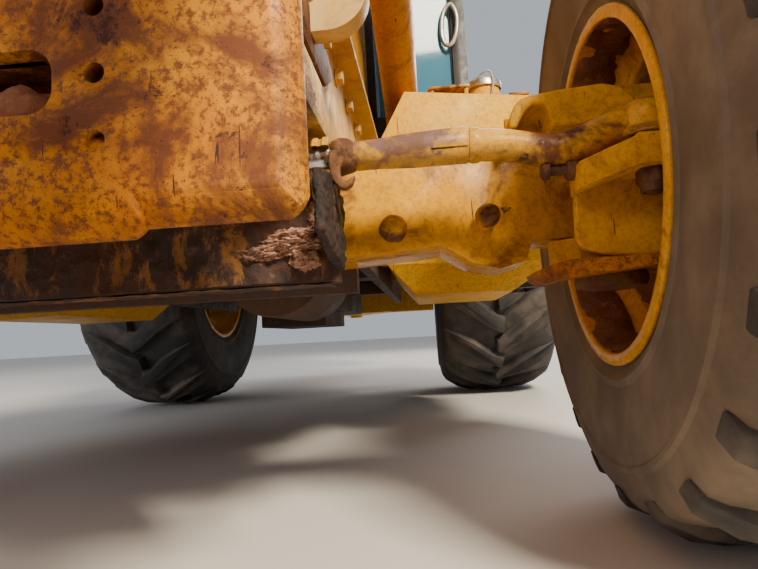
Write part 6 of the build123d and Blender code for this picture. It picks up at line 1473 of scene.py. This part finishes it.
dipper_run = [(0.6, 2.534 + (3.032 - z) * 0.3246, z) for z in (2.75, 2.45, 2.15, 1.85)]
clamped_lines(
    "dipper", "dipper", "dipper.lines", dipper_run, (-1, 0, 0), offsets=[(0, -0.016, 0), (0, 0.016, 0)],
    radius=0.007, clamp_at=(1, 2),
)
frame_bolt_spots = []
for side in (-1, 1):
    for x in (0.20, 0.30, 0.40, 0.49):
        for z in (0.50, 0.98):
            spot, facing = first_hit("backhoe_frame", (side * x, 2.6, z), (0, -1, 0))
            if spot is not None and facing.y > 0.9:
                frame_bolt_spots.append(spot)
finished(
    bolts(frame_bolt_spots, (0, 1, 0), across=0.026, height=0.014),
    "backhoe_frame.bolts", "chassis", rusty,
)

# Loader bucket: bolted cutting edge

edge_plate = slab((-1.082, -3.362, 0.0118), (1.082, -3.215, 0.0195), 0.004)
finished(edge_plate, "bucket.cutting_edge", "loader_bucket", worn_bucket)
edge_bolts = joined(
    [
        turned_about(
            [(0, 0.016), (0.004, 0.015), (0.009, 0.010), (0.011, 0)],
            (-0.98 + 0.28 * index, -3.27, 0.0190), (0, 0, 1), steps=20,
        )
        for index in range(8)
    ]
)
finished(edge_bolts, "bucket.edge_bolts", "loader_bucket", rusty)

# Cab: lamps, mirrors, wiper, handles, hinges, grab rails and a beacon

# name, node, x, y to look from, z, y of the facing, tilt, width, height, depth, lens
CAB_LAMPS = (
    ("front_work_lamp", "cab_roof", 0.52, -0.8, 2.635, -1, -0.12, 0.15, 0.10, 0.05, None),
    ("rear_work_lamp", "cab_roof", 0.52, 2.2, 2.635, 1, -0.12, 0.15, 0.10, 0.05, None),
    ("front_flasher", "cab_roof", 0.66, -0.8, 2.60, -1, 0, 0.06, 0.09, 0.03, amber),
    ("tail_lamp", "cab_frame", 0.42, 2.4, 1.30, 1, 0, 0.07, 0.11, 0.03, red_lens),
    ("rear_flasher", "cab_frame", 0.34, 2.4, 1.30, 1, 0, 0.07, 0.11, 0.03, amber),
)
for side, label in SIDES:
    for name, node, x, y, z, outward, tilt, width, height, depth, lens in CAB_LAMPS:
        spot, facing = surface_of(node, (side * x, y, z), (0, -outward, 0))
        lamp(
            spot - Vector((0, outward * 0.004, 0)), (0, outward, tilt), width=width, height=height,
            depth=depth, name=f"{name}.{label}", body="chassis", lens=lens,
        )
mirror_arm = bent_tube(
    [
        (0.665, -0.03, 2.32), (0.74, -0.075, 2.33), (0.80, -0.10, 2.33), (0.805, -0.10, 2.30),
        (0.805, -0.10, 1.96), (0.80, -0.10, 1.93), (0.74, -0.075, 1.93), (0.665, -0.03, 1.94),
    ],
    0.008, resolution=4,
)
mirror_back = slab((0.745, -0.122, 1.985), (0.885, -0.098, 2.275), 0.018, segments=4)
both_sides(joined([mirror_arm, mirror_back]), "cab.mirror", "chassis", black_plastic)
mirror_glass = slab((0.755, -0.0985, 1.997), (0.875, -0.0960, 2.263), 0.001)
both_sides(mirror_glass, "cab.mirror_glass", "chassis", chrome)
wiper = [round_bar((0.0, -0.098, 2.505), (0.0, -0.120, 2.505), 0.016, sides=24)]
wiper.append(round_bar((0.0, -0.116, 2.505), (0.16, -0.110, 2.06), 0.005, end_radius=0.004, sides=16))
wiper.append(slab((0.150, -0.108, 1.80), (0.160, -0.094, 2.32), 0.002))
finished(joined(wiper), "cab.wiper", "chassis", black_plastic)
door_fittings = []
spot, facing = surface_of("door_left", (1.2, 0.735, 1.62), (-1, 0, 0))
door_fittings.append(
    slab(spot + Vector((-0.002, -0.018, -0.075)), spot + Vector((0.010, 0.018, 0.075)), 0.003)
)
door_fittings.append(
    bent_tube(
        [
            spot + Vector(step)
            for step in (
                (0.006, 0, -0.055), (0.045, 0, -0.05), (0.048, 0, 0.0), (0.045, 0, 0.05), (0.006, 0, 0.055)
            )
        ],
        0.007, resolution=4,
    )
)
both_sides(joined(door_fittings), "door.handle", "door_SIDE", black_plastic)
hinges = []
for z in (1.58, 2.36):
    hinges.append(round_bar((0.6885, -0.006, z - 0.04), (0.6885, -0.006, z + 0.04), 0.009, sides=24))
    hinges.append(slab((0.668, -0.030, z - 0.032), (0.686, -0.008, z + 0.032), 0.002))
both_sides(joined(hinges), "cab.hinges", "chassis", black_paint)
rail = bent_tube(
    [
        (0.668, 0.80, 1.55), (0.735, 0.80, 1.56), (0.745, 0.80, 1.60), (0.745, 0.80, 2.20),
        (0.735, 0.80, 2.24), (0.668, 0.80, 2.25),
    ],
    0.011, resolution=6,
)
rail_feet = [round_bar((0.664, 0.80, z), (0.672, 0.80, z), 0.022, sides=24) for z in (1.55, 2.25)]
both_sides(joined([rail] + rail_feet), "cab.grab_rail", "chassis", black_paint)
loop = bent_tube(
    [
        (0.645, ahead(-1.185), 1.467), (0.664, ahead(-1.180), 1.44), (0.661, ahead(-1.180), 1.36),
        (0.640, ahead(-1.185), 1.315), (0.616, ahead(-1.190), 1.315), (0.603, ahead(-1.190), 1.36),
        (0.612, ahead(-1.190), 1.44), (0.636, ahead(-1.185), 1.470), (0.645, ahead(-1.185), 1.467),
    ],
    0.008, resolution=5,
)
both_sides(loop, "cab.loop_handle", "chassis", zinc, edge_angle=60)
beacon_base = turned_about([(0, 0.060), (0.012, 0.060), (0.016, 0.054), (0.022, 0.054), (0.022, 0)],
                           (-0.45, 0.95, 2.738), (0, 0, 1), steps=40)
finished(beacon_base, "cab.beacon_base", "chassis", black_plastic)
beacon_lens = turned_about(
    [(0, 0.050), (0.05, 0.050), (0.085, 0.044), (0.100, 0.028), (0.104, 0)],
    (-0.45, 0.95, 2.757), (0, 0, 1), steps=40,
)
finished(beacon_lens, "cab.beacon_lens", "chassis", amber)

# Inside the cab: levers, knobs and pedals

# x, y and lean
LEVERS = (
    (-0.36, 0.42, -0.03), (-0.42, 0.42, -0.03), (-0.09, 1.02, 0.02), (0.09, 1.02, 0.02), (0.20, 1.02, 0.02),
    (-0.20, 1.02, 0.02),
)
levers = [round_bar((x, y, 0.955), (x, y + lean, 1.42), 0.007, sides=16) for x, y, lean in LEVERS]
finished(joined(levers), "cab.levers", "chassis", zinc)
knobs = [
    turned_about(
        [(0, 0.010), (0.01, 0.018), (0.035, 0.022), (0.055, 0.016), (0.06, 0)],
        (x, y + lean, 1.40), (0, 0, 1), steps=24,
    )
    for x, y, lean in LEVERS
]
finished(joined(knobs), "cab.knobs", "chassis", black_plastic)
pedals = []
for x in (-0.26, -0.20, 0.22):
    pedals.append(slab((x - 0.03, 0.03, 1.02), (x + 0.03, 0.045, 1.12), 0.004))
    pedals.append(round_bar((x, 0.04, 0.955), (x, 0.04, 1.03), 0.007, sides=16))
finished(joined(pedals), "cab.pedals", "chassis", black_plastic)

# Seat: cushions blown up inside their covers, with sewn channels


def stuffed(piece, limit, name, node):
    """A cushion: its cover swells under pressure, no point moving further than the limit."""
    evenly_meshed(piece, 0.006)
    before = [vertex.co.copy() for vertex in piece.data.vertices]
    cloth = piece.modifiers.new("swell", "CLOTH")
    cloth.settings.quality = 5
    cloth.settings.use_pressure = True
    cloth.settings.uniform_pressure_force = 4.0
    cloth.settings.effector_weights.gravity = 0.0
    for frame_number in range(1, 21):
        bpy.context.scene.frame_set(frame_number)
    activate(piece)
    bpy.ops.object.modifier_apply(modifier=cloth.name)
    for vertex, start in zip(piece.data.vertices, before):
        move = vertex.co - start
        if move.length > limit:
            vertex.co = start + move * (limit / move.length)
    bpy.context.scene.frame_set(1)
    smooth = piece.modifiers.new("smooth", "SUBSURF")
    smooth.levels = smooth.render_levels = 1
    bpy.ops.object.modifier_apply(modifier=smooth.name)
    finished(piece, name, "chassis", seat_vinyl, edge_angle=180)
    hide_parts(node)


def pad(corners, depth, rounding, channels):
    """A pad's start shape: an outline thickened along a vector, with sewn channels pressed in."""
    piece = plate(corners, depth, rounding, segments=4)
    for low, high in channels:
        cut(piece, slab(low, high, 0))
    return piece


# How far the cloth may move a point
SWELL_LIMIT = 0.010
seat_low, seat_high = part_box("seat_cushion")
back_low, back_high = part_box("seat_back")
cushion_y = (seat_low.y + 0.012, seat_high.y - 0.012)
cushion = pad(
    [
        (seat_low.x + 0.012, cushion_y[0] + 0.03, seat_low.z + 0.004),
        (seat_low.x + 0.012, cushion_y[1], seat_low.z + 0.004),
        (seat_high.x - 0.012, cushion_y[1], seat_low.z + 0.004),
        (seat_high.x - 0.012, cushion_y[0] + 0.03, seat_low.z + 0.004),
        (seat_high.x - 0.045, cushion_y[0], seat_low.z + 0.004),
        (seat_low.x + 0.045, cushion_y[0], seat_low.z + 0.004),
    ],
    (0, 0, seat_high.z - seat_low.z - 0.020), rounding=0.022,
    channels=[
        ((x - 0.004, seat_low.y, seat_high.z - 0.028), (x + 0.004, seat_high.y, seat_high.z + 0.05))
        for x in (-0.135, 0.135)
    ] + [
        ((-0.135, y - 0.004, seat_high.z - 0.026), (0.135, y + 0.004, seat_high.z + 0.05))
        for y in (0.50, 0.60, 0.70)
    ],
)
stuffed(cushion, SWELL_LIMIT, "seat.cushion", "seat_cushion")
backrest = pad(
    [
        (back_low.x + 0.012, back_low.y + 0.014, back_low.z + 0.012),
        (back_low.x + 0.012, back_low.y + 0.110, back_high.z - 0.05),
        (back_low.x + 0.055, back_low.y + 0.118, back_high.z - 0.012),
        (back_high.x - 0.055, back_low.y + 0.118, back_high.z - 0.012),
        (back_high.x - 0.012, back_low.y + 0.110, back_high.z - 0.05),
        (back_high.x - 0.012, back_low.y + 0.014, back_low.z + 0.012),
    ],
    (0, 0.072, 0.0), rounding=0.020, channels=[],
)
stuffed(backrest, SWELL_LIMIT, "seat.back", "seat_back")

# Camera: low and close, as the photo was taken
CAMERA_PLACE = Vector((0.498, ahead(0.862), 0.2835))
CAMERA_FORWARD = Vector((-0.0815, 0.9927, 0.0891))
CAMERA_UP = Vector((0.0608, -0.0843, 0.9946))
camera_data = bpy.data.cameras.new("camera")
camera_data.lens = 27.9
camera_data.sensor_width = 36.0
camera_data.clip_start = 0.02
camera = bpy.data.objects.new("camera", camera_data)
bpy.context.scene.collection.objects.link(camera)
backward = -CAMERA_FORWARD.normalized()
right = CAMERA_UP.cross(backward).normalized()
up = backward.cross(right)
camera.matrix_world = Matrix.Translation(CAMERA_PLACE) @ Matrix((right, up, backward)).transposed().to_4x4()
bpy.context.scene.camera = camera

# Floor and light
clear_selection()
bpy.ops.mesh.primitive_plane_add(size=120, location=(0, 30, 0))
floor = bpy.context.active_object
floor.name = "floor"
floor_material = new_material("pale floor", 0.9)[0]
floor_material.node_tree.nodes["Principled BSDF"].inputs["Base Color"].default_value = (0.60, 0.56, 0.52, 1)
set_material(floor, floor_material)


def soft_light(name, spot, target, size, power, tone):
    """A large area light aimed at a target."""
    data = bpy.data.lights.new(name, "AREA")
    data.shape = "SQUARE"
    data.size = size
    data.energy = power
    data.color = tone
    light = bpy.data.objects.new(name, data)
    bpy.context.scene.collection.objects.link(light)
    aim = (Vector(target) - Vector(spot)).to_track_quat("-Z", "Y")
    light.matrix_world = Matrix.Translation(spot) @ aim.to_matrix().to_4x4()


soft_light("key light", (4.2, -7.5, 6.5), (0.5, -1.2, 0.5), size=2.0, power=2250, tone=(1.0, 0.90, 0.70))
soft_light("fill light", (-5.0, -6.5, 1.6), (0, -1.2, 0.5), size=4.0, power=360, tone=(0.95, 0.96, 1.0))
soft_light("rear light", (3.5, 7.0, 5.0), (0, 0, 0.8), size=4.0, power=500, tone=(1.0, 0.98, 0.95))
world = bpy.data.worlds.new("studio")
world.use_nodes = True
world.node_tree.nodes["Background"].inputs["Color"].default_value = (0.78, 0.84, 0.92, 1)
world.node_tree.nodes["Background"].inputs["Strength"].default_value = 0.60
bpy.context.scene.world = world
